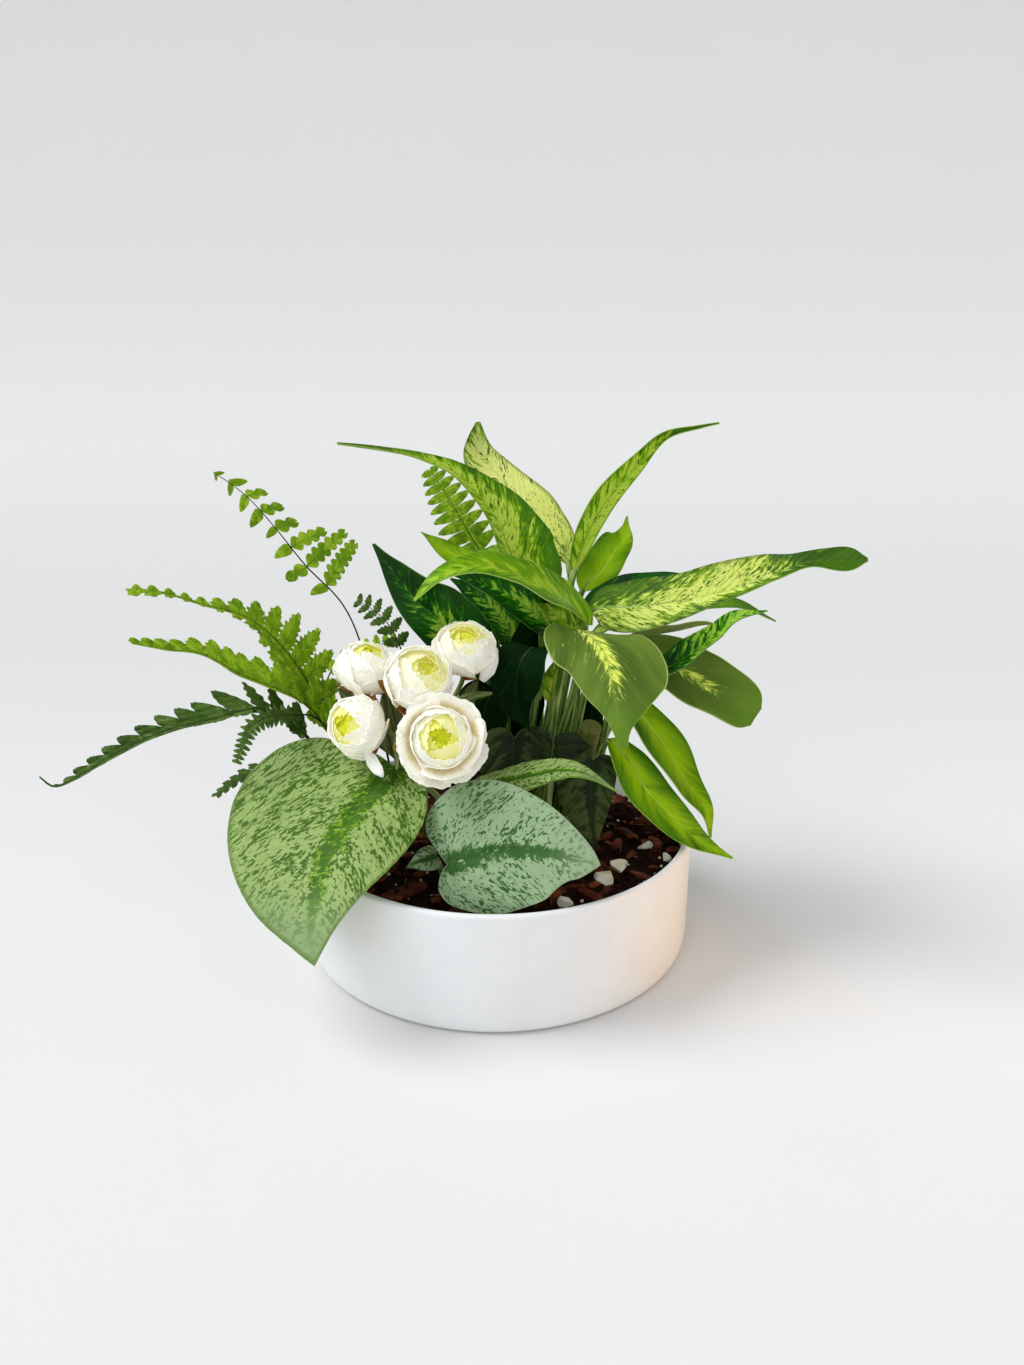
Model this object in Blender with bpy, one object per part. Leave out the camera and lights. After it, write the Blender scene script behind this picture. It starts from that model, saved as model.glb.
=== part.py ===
"""A dish garden in a low round bowl: variegated dumb cane, satin pothos, fern and white ranunculus heads.

Metres, +Z up, seen from the front along +Y. The origin is the centre of the bowl's foot. Lengths in the
tables are millimetres, and MM turns them to metres.
"""

import math
import random

import bmesh
import bpy
import numpy as np
from mathutils import Vector
from mathutils.bvhtree import BVHTree

MM = 0.001
CLEARANCE = 0.3

# Bowl, in mm: a straight-sided low cylinder with a rounded foot edge and a rounded lip
BOWL_RADIUS = 101.5
BOWL_HEIGHT = 62.0
BOWL_WALL = 3.6
BOWL_FLOOR = 5.0
BOWL_SIDES = 48

# Potting mix, in mm: a shallow mound that stands below the lip
SOIL_EDGE_Z = 44.0
SOIL_MOUND = 5.0
SOIL_LUMP = 1.2
SOIL_RINGS = (1.0, 0.86, 0.6, 0.3)
SOIL_SIDES = 36
ROOT_DEPTH = 12.0
STEM_FOOT = 6.0
HOLE_SIDES = 6

# Dumb cane leaves, in mm
BLADE_THICK = 0.8
PETIOLE_RADIUS = 1.9
PETIOLE_TIP_RADIUS = 1.5
PETIOLE_RINGS = 4
BLADE_RINGS = (0, 0.05, 0.14, 0.27, 0.42, 0.58, 0.74, 0.88, 1.0)
WIDTH_STATIONS = (0, 0.08, 0.2, 0.35, 0.5, 0.65, 0.8, 0.92, 1.0)
OVATE = (0.12, 0.55, 0.86, 1.0, 0.95, 0.76, 0.46, 0.17, 0.04)
BLUNT = (0.12, 0.5, 0.8, 0.97, 1.0, 0.97, 0.9, 0.74, 0.35)
FLAT_CURL = ((0, 0), (0, 0), (0, 0), (0, 0))

# Satin pothos leaves, in mm
HEART_THICK = 1.0
POTHOS_STEM_RADIUS = 1.7
POTHOS_RIB_RADIUS = 1.0
SINUS_DEPTH = 1.5

# Half the outline of a heart-shaped blade, from the tip to the notch. The first number is a share of the
# length ahead of the leafstalk or of the lobe behind it, and the second is a share of the half width.
HEART_HALF = ((1.0, 0), (0.92, 0.1), (0.78, 0.34), (0.56, 0.7), (0.3, 0.94), (0.04, 1.0),
              (-0.5, 0.88), (-0.95, 0.56), (-0.85, 0.22))
SLIM_HALF = ((1.0, 0), (0.93, 0.15), (0.84, 0.33), (0.67, 0.67), (0.54, 0.89), (0.36, 1.0),
             (0.2, 0.95), (0.08, 0.78), (-0.3, 0.5), (-0.6, 0.25))
FULL_HALF = ((1.0, 0), (0.96, 0.2), (0.84, 0.475), (0.66, 0.69), (0.4, 0.885), (0.22, 0.975), (0.03, 1.0),
             (-0.6, 0.93), (-0.92, 0.81), (-1.0, 0.66), (-0.8, 0.44), (-0.5, 0.2))
UPPER_HALF = ((1.0, 0), (0.97, 0.11), (0.92, 0.22), (0.8, 0.4), (0.69, 0.54), (0.57, 0.66), (0.41, 0.8),
              (0.21, 0.92), (0.02, 0.97), (-0.55, 0.88), (-1.0, 0.7), (-1.03, 0.48), (-0.5, 0.18))
LOWER_HALF = ((1.0, 0), (0.87, 0.3), (0.79, 0.41), (0.72, 0.57), (0.65, 0.76), (0.51, 0.92), (0.38, 1.0),
              (0.24, 0.97), (0.08, 0.8), (-0.1, 0.67), (-0.55, 0.52), (-0.75, 0.35), (-0.6, 0.15))

# Fern fronds, in mm
FROND_THICK = 0.7
STIPE_HALF = 0.8
RACHIS_HALF = 0.45
SHORTEST_LEAFLET = 2.6

# Ranunculus heads, in mm
PETAL_THICK = 0.8
HEART_SHARE = 0.6
HEART_DEPTH_SHARE = 0.66
FLOWER_STEM_RADIUS = 1.3
SPRAY_STEM_RADIUS = 2.0

# Cut cane, in mm
CANE_RADIUS = 5.4

ROOTS = []

random.seed(7)

for startup in list(bpy.context.scene.objects):
    bpy.data.objects.remove(startup)


def unit(v):
    """The vector at length 1."""
    v = np.asarray(v, float)
    return v / np.linalg.norm(v)


def soil_height(x, y):
    """Height of the potting mix's surface in mm: the mound and its lumps, by formula."""
    reach = min(1.0, math.hypot(x, y) / BOWL_RADIUS)
    lumps = math.sin(x * 0.19 + 1.3) * math.cos(y * 0.17 - 0.4) + 0.6 * math.sin(x * 0.31 - y * 0.27)
    return SOIL_EDGE_Z + SOIL_MOUND * (1 - reach * reach) + SOIL_LUMP * lumps


def smooth_path(points, dense=20):
    """A finely stepped curve through the points, paced by their spacing so that it never overshoots."""
    p = np.array(points, float)
    p = np.vstack([2 * p[0] - p[1], p, 2 * p[-1] - p[-2]])
    knots = np.concatenate([[0], np.cumsum(np.linalg.norm(np.diff(p, axis=0), axis=1) ** 0.5)])
    steps = np.linspace(0, 1, dense, endpoint=False)[:, None]
    parts = []
    for i in range(1, len(p) - 2):
        a, b, c = knots[i] - knots[i - 1], knots[i + 1] - knots[i], knots[i + 2] - knots[i + 1]
        start = ((p[i] - p[i - 1]) / a - (p[i + 1] - p[i - 1]) / (a + b) + (p[i + 1] - p[i]) / b) * b
        end = ((p[i + 1] - p[i]) / b - (p[i + 2] - p[i]) / (b + c) + (p[i + 2] - p[i + 1]) / c) * b
        s, s2, s3 = steps, steps**2, steps**3
        parts.append((2 * s3 - 3 * s2 + 1) * p[i] + (s3 - 2 * s2 + s) * start
                     + (3 * s2 - 2 * s3) * p[i + 1] + (s3 - s2) * end)
    return np.vstack(parts + [p[-2:-1]])


def run_of(path):
    """Distance from the start at each step of a path."""
    return np.concatenate([[0], np.cumsum(np.linalg.norm(np.diff(path, axis=0), axis=1))])


def sample(path, distances):
    """Points and unit directions of a path at these distances from its start."""
    run = run_of(path)
    points = np.stack([np.interp(distances, run, path[:, k]) for k in range(3)], axis=1)
    slopes = np.gradient(path, axis=0)
    ways = np.stack([np.interp(distances, run, slopes[:, k]) for k in range(3)], axis=1)
    return points, np.array([unit(w) for w in ways])


def spread(values, shares):
    """Values given at even stations, read smoothly at these shares of the whole."""
    values = np.array(values, float)
    if len(values) == 1:
        return np.repeat(values, len(shares), axis=0)
    even = np.linspace(0, 1, len(values))
    return np.stack([np.interp(shares, even, values[:, k]) for k in range(values.shape[1])], axis=1)


def width_at(widths, share):
    """A width given at WIDTH_STATIONS, read on a smooth curve."""
    curve = smooth_path([(s, w, 0) for s, w in zip(WIDTH_STATIONS, widths)], 8)
    return float(np.interp(share, curve[:, 0], curve[:, 1]))


def across(way, face):
    """The face direction squared up to the way, and the side direction."""
    face = unit(np.asarray(face, float) - np.dot(face, way) * way)
    return face, np.cross(way, face)


def stem_start(root, radius):
    """The straight foot of a stem at the root (x, y), in its hole and above it. The hole is noted."""
    x, y = root
    top = soil_height(x, y)
    ROOTS.append((root, radius))
    return [(x, y, top - ROOT_DEPTH), (x, y, top), (x, y, top + STEM_FOOT)]


def new_object(name, vertices, faces, skin, smooth_angle=50):
    """A mesh object from points in mm, closed and facing out."""
    mesh = bpy.data.meshes.new(name)
    mesh.from_pydata([tuple(float(c) * MM for c in v) for v in vertices], [], faces)
    bm = bmesh.new()
    bm.from_mesh(mesh)
    bmesh.ops.recalc_face_normals(bm, faces=bm.faces)
    if bm.calc_volume(signed=True) < 0:
        bmesh.ops.reverse_faces(bm, faces=bm.faces)
    bm.to_mesh(mesh)
    bm.free()
    mesh.materials.append(skin)
    mesh.shade_smooth()
    mesh.set_sharp_from_angle(angle=math.radians(smooth_angle))
    obj = bpy.data.objects.new(name, mesh)
    bpy.context.scene.collection.objects.link(obj)
    return obj


def new_material(name, colour, roughness):
    """A Principled material with one colour."""
    made = bpy.data.materials.new(name)
    made.use_nodes = True
    shader = made.node_tree.nodes["Principled BSDF"]
    shader.inputs["Base Color"].default_value = (*colour, 1)
    shader.inputs["Roughness"].default_value = roughness
    made.diffuse_color = (*colour, 1)
    return made


def largest_shell(mesh):
    """Keeps the mesh's largest closed shell: a hollow sealed by a join is filled and a scrap is dropped."""
    bm = bmesh.new()
    bm.from_mesh(mesh)
    waiting, shells = set(bm.faces), []
    while waiting:
        shell, edge = [], [waiting.pop()]
        while edge:
            face = edge.pop()
            shell.append(face)
            for side in face.edges:
                for other in side.link_faces:
                    if other in waiting:
                        waiting.discard(other)
                        edge.append(other)
        shells.append(shell)
    shells.sort(key=len)
    for shell in shells[:-1]:
        bmesh.ops.delete(bm, geom=shell, context="FACES")
    bm.to_mesh(mesh)
    bm.free()


def combine(obj, others, operation, solver="EXACT"):
    """Joins or cuts this object with the others by one Boolean, then removes the others."""
    group = bpy.data.collections.new(obj.name + "_others")
    for other in others:
        bpy.context.scene.collection.objects.unlink(other)
        group.objects.link(other)
    bpy.context.scene.collection.children.link(group)
    step = obj.modifiers.new("combine", "BOOLEAN")
    step.operation = operation
    step.solver = solver
    step.operand_type = "COLLECTION"
    step.collection = group
    bpy.context.view_layer.update()
    graph = bpy.context.evaluated_depsgraph_get()
    mesh = bpy.data.meshes.new_from_object(obj.evaluated_get(graph))
    largest_shell(mesh)
    obj.modifiers.clear()
    obj.data = mesh
    for other in others:
        bpy.data.objects.remove(other)
    bpy.data.collections.remove(group)
    return obj


def bridge(count, rings, columns):
    """Faces between rings and to a last point, with both sides of a blade split along the same diagonals."""
    last = (rings - 1) * count
    faces = [tuple(range(count))] + [(last + k, last + (k + 1) % count,
                                      rings * count) for k in range(count)]
    for i in range(rings - 1):
        here, there = i * count, (i + 1) * count
        for k in range(count):
            n = (k + 1) % count
            a, b, c, d = here + k, here + n, there + n, there + k
            if columns < k < count - 1:
                faces += [(a, d, b), (b, d, c)]
            else:
                faces += [(a, c, b), (a, d, c)]
    return faces


def stem_ring(centre, face, side, radius, columns):
    """A round cross-section, with its points in the order of a blade's: top row, then bottom row back."""
    count = 2 * (columns + 1)
    angles = [math.pi * (1 - (2 * k + 1) / count) for k in range(count)]
    return [centre + side * (radius * math.cos(a)) + face * (radius * math.sin(a)) for a in angles]


def blade_ring(centre, face, side, halves, fold, curl, keel, columns):
    """A blade's cross-section: a V folded at the midrib, with curled edges and a keel below."""
    top, bottom = [], []
    for j in range(columns + 1):
        t = 2 * j / columns - 1
        half_width, edge = (halves[0], curl[0]) if t < 0 else (halves[1], curl[1])
        lift = abs(t) * half_width * fold + t * t * edge
        slope = 0 if t == 0 else math.copysign(fold, t) + 2 * t * edge / half_width
        size = BLADE_THICK / 2 / math.hypot(1, slope)
        spine = centre + side * (t * half_width) + face * lift
        thick = (face - side * slope) * size
        if t == 0:
            thick = face * (BLADE_THICK / 2 * math.hypot(1, fold))
        top.append(spine + thick)
        bottom.append(spine - thick - (face * keel if t == 0 else 0))
    return top + bottom[::-1]


def cane_leaf(name, skin, root, spine, halves, facing, fold=0.3, curl=FLAT_CURL, widths=(OVATE, OVATE),
              bends=(), columns=2):
    """A dumb cane leaf with its leafstalk, as one closed loft from the root to the tip.

    Halves, widths and each pair in curl are (left, right), seen on the leaf's face with its tip up.
    """
    path = smooth_path(stem_start(root, PETIOLE_RADIUS) + list(bends) + list(spine))
    start = run_of(path)[np.argmin(np.linalg.norm(path - np.array(spine[0], float), axis=1))]
    whole = run_of(path)[-1]
    foot = ROOT_DEPTH + STEM_FOOT
    eased = np.linspace(0, 1, PETIOLE_RINGS - 1)[1:-1] ** 0.8
    stalk = [0, foot] + list(foot + eased * (start - foot))
    stops = np.array(stalk + [start + s * (whole - start) for s in BLADE_RINGS])
    points, ways = sample(path, stops)
    hints = spread(facing, BLADE_RINGS)
    edges = spread([pair[0:2] for pair in curl], BLADE_RINGS)
    frames = [None] * len(stops)
    for i, hint in enumerate(hints):
        frames[len(stalk) + i] = across(ways[len(stalk) + i], hint)
    for i in reversed(range(len(stalk))):
        frames[i] = across(ways[i], frames[i + 1][0])
    vertices = []
    for i, (centre, (face, side)) in enumerate(zip(points, frames)):
        share = stops[i] / start
        if i <= len(stalk):
            radius = PETIOLE_RADIUS + (PETIOLE_TIP_RADIUS - PETIOLE_RADIUS) * min(1, share)
            vertices += stem_ring(centre, face, side, radius, columns)
            continue
        s = BLADE_RINGS[i - len(stalk)]
        reach = [max(0.5, half * width_at(outline, s)) for half, outline in zip(halves, widths)]
        keel = 0.2 + 1.2 * (1 - s) ** 2
        vertices += blade_ring(centre, face, side, reach, fold, edges[i - len(stalk)], keel, columns)
    vertices.append(points[-1] + ways[-1] * BLADE_THICK)
    count = 2 * (columns + 1)
    return new_object(name, vertices, bridge(count, len(stops), columns), skin)


def plate(name, skin, middle, thick, smooth_angle=50):
    """A closed plate of even thickness around a grid of mid-surface points."""
    middle = np.array(middle, float)
    rows, columns = middle.shape[0] - 1, middle.shape[1] - 1
    normal = np.cross(np.gradient(middle, axis=0), np.gradient(middle, axis=1))
    normal /= np.linalg.norm(normal, axis=2)[:, :, None]
    size = (rows + 1) * (columns + 1)
    top, bottom = middle + normal * thick / 2, middle - normal * thick / 2
    vertices = [*top.reshape(-1, 3), *bottom.reshape(-1, 3)]
    faces = []
    for i in range(rows):
        for j in range(columns):
            a, b = i * (columns + 1) + j, i * (columns + 1) + j + 1
            c, d = b + columns + 1, a + columns + 1
            faces += [(a, b, c), (a, c, d), (a + size, c + size, b + size), (a + size, d + size, c + size)]
    rim = list(range(columns)) + [i * (columns + 1) + columns for i in range(rows)]
    rim += [rows * (columns + 1) + j for j in range(columns, 0, -1)]
    rim += [i * (columns + 1) for i in range(rows, 0, -1)]
    for a, b in zip(rim, rim[1:] + rim[:1]):
        faces += [(a, a + size, b + size), (a, b + size, b)]
    return new_object(name, vertices, faces, skin, smooth_angle)


def tube(name, skin, points, radii, sides=6):
    """A closed round stem along a smooth path through the points."""
    path = smooth_path(points)
    stops = np.linspace(0, run_of(path)[-1], max(4, len(points)))
    centres, ways = sample(path, stops)
    face = np.array([0.3, -1.0, 0.2])
    vertices = []
    for centre, way, share in zip(centres, ways, np.linspace(0, 1, len(stops))):
        face, side = across(way, face)
        radius = radii[0] + (radii[1] - radii[0]) * share
        for k in range(sides):
            a = 2 * math.pi * k / sides
            vertices.append(centre + side * (radius * math.cos(a)) + face * (radius * math.sin(a)))
    faces = [tuple(range(sides)), tuple(reversed(range((len(stops) - 1) * sides, len(stops) * sides)))]
    for i in range(len(stops) - 1):
        for k in range(sides):
            n = (k + 1) % sides
            faces.append((i * sides + k, (i + 1) * sides + k, (i + 1) * sides + n, i * sides + n))
    return new_object(name, vertices, faces, skin)


def heart_outline(length, halves, lobes, outlines, steps):
    """(ahead, across) places round a heart-shaped blade, from the tip down the right and back up the left."""
    edge = []
    for sign, k in ((1, 1), (-1, 0)):
        keys = [(ahead * (length if ahead > 0 else lobes[k]), sign * wide * halves[k], 0)
                for ahead, wide in outlines[k]]
        curve = smooth_path(keys + [(-SINUS_DEPTH, 0, 0)])
        points = sample(curve, np.linspace(0, run_of(curve)[-1], steps + 1))[0]
        edge += list(points[:-1]) if sign > 0 else list(points[:0:-1])
    return [(p[0], p[1]) for p in edge]


def heart_surface(spine, halves, facing, fold, cup):
    """A function that gives the blade's mid-surface point for a place (ahead, across) on the flat leaf."""
    path = smooth_path(spine)
    first = unit(path[1] - path[0])
    side = across(unit(path[-1] - path[0]), facing)[1]

    def spot(ahead, wide):
        points, ways = sample(path, [max(0, ahead)])
        face = unit(np.cross(side, ways[0]))
        half = halves[0] if wide < 0 else halves[1]
        lift = abs(wide) * fold - cup * (wide / half) ** 2
        return points[0] + first * min(0, ahead) + side * wide + face * lift

    return spot


def pothos_leaf(name, skin, root, bends, spine, halves, facing, fold=0.12, cup=3, lobes=(9, 9),
                outlines=(HEART_HALF, HEART_HALF), rings=2, steps=9, ribs=(0.03, 0.14, 0.3)):
    """A heart-shaped satin pothos leaf, with its leafstalk running on under the midrib as a rib.

    Halves, lobes and outlines are (left, right),
    seen on the leaf's face with its tip up. Ribs are the shares of
    the length that the leafstalk touches.
    """
    path = smooth_path(spine)
    length = run_of(path)[-1]
    spot = heart_surface(spine, halves, facing, fold, cup)
    edge = heart_outline(length, halves, lobes, outlines, steps)
    places = [(0, 0)] + [(a * (m + 1) / rings, b * (m + 1) / rings) for m in range(rings) for a, b in edge]
    top, bottom = [], []
    for ahead, wide in places:
        along = spot(ahead + 0.5, wide) - spot(ahead - 0.5, wide)
        normal = unit(np.cross(along, spot(ahead, wide + 0.5) - spot(ahead, wide - 0.5)))
        top.append(spot(ahead, wide) + normal * HEART_THICK / 2)
        bottom.append(spot(ahead, wide) - normal * HEART_THICK / 2)
    count, under = len(edge), len(places)
    faces = []
    for k in range(count):
        n = (k + 1) % count
        faces += [(0, 1 + k, 1 + n), (under, under + 1 + n, under + 1 + k)]
        for m in range(rings - 1):
            inner, outer = 1 + m * count, 1 + (m + 1) * count
            a, b, c, d = inner + k, inner + n, outer + n, outer + k
            faces += [(a, d, c), (a, c, b)]
            faces += [(a + under, c + under, d + under), (a + under, b + under, c + under)]
        a, b = 1 + (rings - 1) * count + k, 1 + (rings - 1) * count + n
        faces += [(a, a + under, b + under), (a, b + under, b)]
    blade = new_object(name, top + bottom, faces, skin)
    points, ways = sample(path, np.array(ribs) * length)
    rib = [p - across(w, facing)[0] * (HEART_THICK / 2 + 0.5) for p, w in zip(points, ways)]
    stalk = tube(name + "_stalk", skin, stem_start(root, POTHOS_STEM_RADIUS) + list(bends) + rib,
                 (POTHOS_STEM_RADIUS, POTHOS_RIB_RADIUS))
    return combine(blade, [stalk], "UNION", "MANIFOLD")


def fern_frond(name, skin, root, bends, spine, facing, pairs, lengths, lean=0.35, raised=0.0, foot=0.8,
               cuts=(0.75, 0.55, 0.2), droop=0.1):
    """A fern frond: a square stipe and midrib, with a leaflet drawn out of each side of every second step.

    Lengths is (left, right), each a list of leaflet lengths from base to tip. Raised is how far the leaflets
    fold up from flat, and foot is the share of the spacing that a leaflet's root takes.
    """
    path = smooth_path(stem_start(root, STIPE_HALF * 1.42) + list(bends) + list(spine))
    start = run_of(path)[np.argmin(np.linalg.norm(path - np.array(spine[0], float), axis=1))]
    whole = run_of(path)[-1]
    ground = ROOT_DEPTH + STEM_FOOT
    stalk = [0, ground] + list(np.linspace(ground, start, 5)[1:-1])
    gaps = np.linspace(1.25, 0.7, pairs)
    bounds = np.concatenate([[0], np.cumsum(gaps) / gaps.sum()])
    shares = [0.0]
    for low, high in zip(bounds[:-1], bounds[1:]):
        shares += [high] if foot > 0.95 else [high - foot * (high - low), high]
    stops = np.array(stalk + [start + share * (whole - start) for share in shares])
    points, ways = sample(path, stops)
    hints = [facing[0]] * len(stalk) + list(spread(facing, shares))
    frames = [across(w, h) for w, h in zip(ways, hints)]
    vertices, faces = [], []
    for centre, (face, side), stop in zip(points, frames, stops):
        half = STIPE_HALF + (RACHIS_HALF - STIPE_HALF) * min(1, stop / start)
        thick = max(half, FROND_THICK / 2)
        vertices += [centre - side * half + face * thick, centre + side * half + face * thick,
                     centre + side * half - face * thick, centre - side * half - face * thick]
    faces += [(0, 1, 2, 3), tuple(range(len(vertices) - 4, len(vertices)))]
    for i in range(len(stops) - 1):
        a, b = 4 * i, 4 * i + 4
        faces += [(a, a + 1, b + 1, b), (a + 2, a + 3, b + 3, b + 2)]
        order = i - len(stalk)
        if order < 0 or (foot <= 0.95 and order % 2 == 0):
            faces += [(a + 1, a + 2, b + 2, b + 1), (a + 3, a, b, b + 3)]
            continue
        pair = order if foot > 0.95 else order // 2
        step = gaps[pair] / gaps.sum() * (whole - start)
        face, side = frames[i]
        right, left = [a + 1, b + 1, b + 2, a + 2], [a, b, b + 3, a + 3]
        for sign, ring, sizes in ((1, right, lengths[1]), (-1, left, lengths[0])):
            long = float(np.interp((pair + 0.5) / pairs, np.linspace(0, 1, len(sizes)), sizes))
            if long < SHORTEST_LEAFLET:
                faces.append(tuple(ring))
                continue
            out = unit(side * sign * math.cos(raised) + face * math.sin(raised) + ways[i] * lean)
            up = unit(face * math.cos(raised) - side * sign * math.sin(raised)) * FROND_THICK / 2
            origin = (points[i] + points[i + 1]) / 2
            for k, cut in enumerate(cuts):
                share = (k + 1) / len(cuts)
                centre = origin + out * (long * share) - face * (droop * long * share * share)
                along = ways[i] * max(0.35, step / 2 * cut)
                base = len(vertices)
                vertices += [centre - along + up, centre + along + up, centre + along - up,
                             centre - along - up]
                new = [base, base + 1, base + 2, base + 3]
                faces += [(ring[m], ring[(m + 1) % 4], new[(m + 1) % 4], new[m]) for m in range(4)]
                ring = new
            faces.append(tuple(ring))
    return new_object(name, vertices, faces, skin, 40)


def head_frame(axis):
    """(right, front, axis) unit vectors of a flower head that faces along the axis."""
    axis = unit(axis)
    right = unit(np.cross(axis, (0.1, 0.2, -1.0)))
    return right, np.cross(axis, right), axis


def ball(name, skin, centre, frame, radii, sides=10, rows=6):
    """A closed round body with poles on the frame's third axis."""
    vertices = [centre - frame[2] * radii[2]]
    for i in range(1, rows):
        polar = math.pi * i / rows
        for k in range(sides):
            a = 2 * math.pi * k / sides
            vertices.append(centre + frame[0] * (radii[0] * math.sin(polar) * math.cos(a))
                            + frame[1] * (radii[1] * math.sin(polar) * math.sin(a))
                            - frame[2] * (radii[2] * math.cos(polar)))
    vertices.append(centre + frame[2] * radii[2])
    faces = []
    for k in range(sides):
        n = (k + 1) % sides
        faces.append((0, 1 + k, 1 + n))
        for i in range(rows - 2):
            here, there = 1 + i * sides, 1 + (i + 1) * sides
            faces.append((here + k, there + k, there + n, here + n))
        faces.append((len(vertices) - 1, 1 + (rows - 2) * sides + n, 1 + (rows - 2) * sides + k))
    return new_object(name, vertices, faces, skin, 70)


def petal_grid(centre, frame, radius, turn, half_angle, top, flare, spiral, rows, columns):
    """Mid-surface points of one cupped petal that wraps the head from its foot up to the polar angle top."""
    grid = []
    for i in range(rows + 1):
        v = i / rows
        polar = math.radians(158 + (top - 158) * v)
        row = []
        for j in range(columns + 1):
            u = 2 * j / columns - 1
            a = turn + u * half_angle * (0.55 + 0.45 * math.sin(math.pi * min(1, 0.15 + 0.6 * v)))
            cup = 0.5 + 0.5 * math.sin(math.pi * min(0.5, 0.62 * v)) + flare * v**3
            bulge = radius * cup * (1 + spiral * u)
            tilt = polar + 0.16 * u * u * v
            row.append(centre + frame[0] * (bulge * math.sin(tilt) * math.cos(a))
                       + frame[1] * (bulge * math.sin(tilt) * math.sin(a))
                       + frame[2] * (bulge * math.cos(tilt)))
        grid.append(row)
    return grid


def small_leaf(name, skin, spine, half, facing, thick):
    """A thin pointed leaf or petal scrap along a spine, as a plate."""
    path = smooth_path(spine)
    points, ways = sample(path, np.linspace(0, run_of(path)[-1], 4))
    grid = []
    for point, way, share in zip(points, ways, (0.45, 1.0, 0.85, 0.15)):
        side = across(way, facing)[1]
        grid.append([point - side * half * share, point, point + side * half * share])
    return plate(name, skin, grid, thick)


def flower_head(name, skin, centre, axis, radius, layers, scraps=()):
    """A ranunculus head: a round heart wrapped in layers of cupped petals, fused to one body.

    Each layer is (petals, size, polar angle of the petal's tip, flare, turn), and each scrap is a hanging
    petal's (spine, half width, facing).
    """
    centre = np.array(centre, float)
    frame = head_frame(axis)
    girth = radius * HEART_SHARE
    heart = ball(name, skin, centre, frame, (girth, girth, radius * HEART_DEPTH_SHARE), 9, 5)
    petals = [small_leaf(f"{name}_scrap", skin, *scrap, PETAL_THICK) for scrap in scraps]
    for petal_count, size, top, flare, turn in layers:
        for k in range(petal_count):
            grid = petal_grid(centre, frame, radius * size, turn + 2 * math.pi * k / petal_count,
                              math.pi / petal_count * 1.3, top, flare, 0.06, 2, 2)
            petals.append(plate(f"{name}_petal", skin, grid, PETAL_THICK))
    return combine(heart, petals, "UNION", "MANIFOLD")


def flower_spray(name, skin, root, fork, heads, leaves):
    """The flower heads' stems: one stem out of the soil that forks to each head, with small leaves."""
    stem = tube(name, skin, stem_start(root, SPRAY_STEM_RADIUS) + [fork],
                (SPRAY_STEM_RADIUS, SPRAY_STEM_RADIUS))
    branches = []
    for centre, axis, radius in heads:
        axis, centre = unit(axis), np.array(centre, float)
        seat = centre - axis * (radius * HEART_DEPTH_SHARE + CLEARANCE * 1.2)
        low = np.array(fork, float) - (0, 0, 4)
        middle = (low * 0.5 + (seat - axis * 9) * 0.5) + (0, 0, 4)
        branches.append(tube(f"{name}_branch", skin, [low, middle, seat - axis * 9, seat - axis * 3, seat],
                             (FLOWER_STEM_RADIUS, FLOWER_STEM_RADIUS), 5))
    branches += [small_leaf(f"{name}_leaf", skin, *leaf, PETAL_THICK) for leaf in leaves]
    return combine(stem, branches, "UNION", "MANIFOLD")


def turned_bowl(skin):
    """The bowl: its profile turned about the vertical."""
    inner, lip = BOWL_RADIUS - BOWL_WALL, BOWL_HEIGHT - 0.2
    profile = [(BOWL_RADIUS - 4.5, 0), (BOWL_RADIUS - 0.8, 3), (BOWL_RADIUS, lip - 1.6),
               (BOWL_RADIUS - 0.9, lip),
               (inner + 0.9, lip), (inner, lip - 1.6), (inner, BOWL_FLOOR + 5), (inner - 3.9, BOWL_FLOOR)]
    return turned("bowl", skin, profile, 0, BOWL_FLOOR, BOWL_SIDES)


def turned(name, skin, profile, low, high, sides):
    """A closed body turned about the vertical, its profile given from the axis at low to the axis at high."""
    vertices = [(0, 0, low)]
    for radius, z in profile:
        for k in range(sides):
            a = 2 * math.pi * k / sides
            x, y = radius * math.cos(a), radius * math.sin(a)
            vertices.append((x, y, z(x, y) if callable(z) else z))
    vertices.append((0, 0, high))
    faces = []
    for k in range(sides):
        n = (k + 1) % sides
        faces.append((0, 1 + n, 1 + k))
        for i in range(len(profile) - 1):
            here, there = 1 + i * sides, 1 + (i + 1) * sides
            faces.append((here + k, here + n, there + n, there + k))
        last = 1 + (len(profile) - 1) * sides
        faces.append((len(vertices) - 1, last + k, last + n))
    return new_object(name, vertices, faces, skin, 35)


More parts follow.
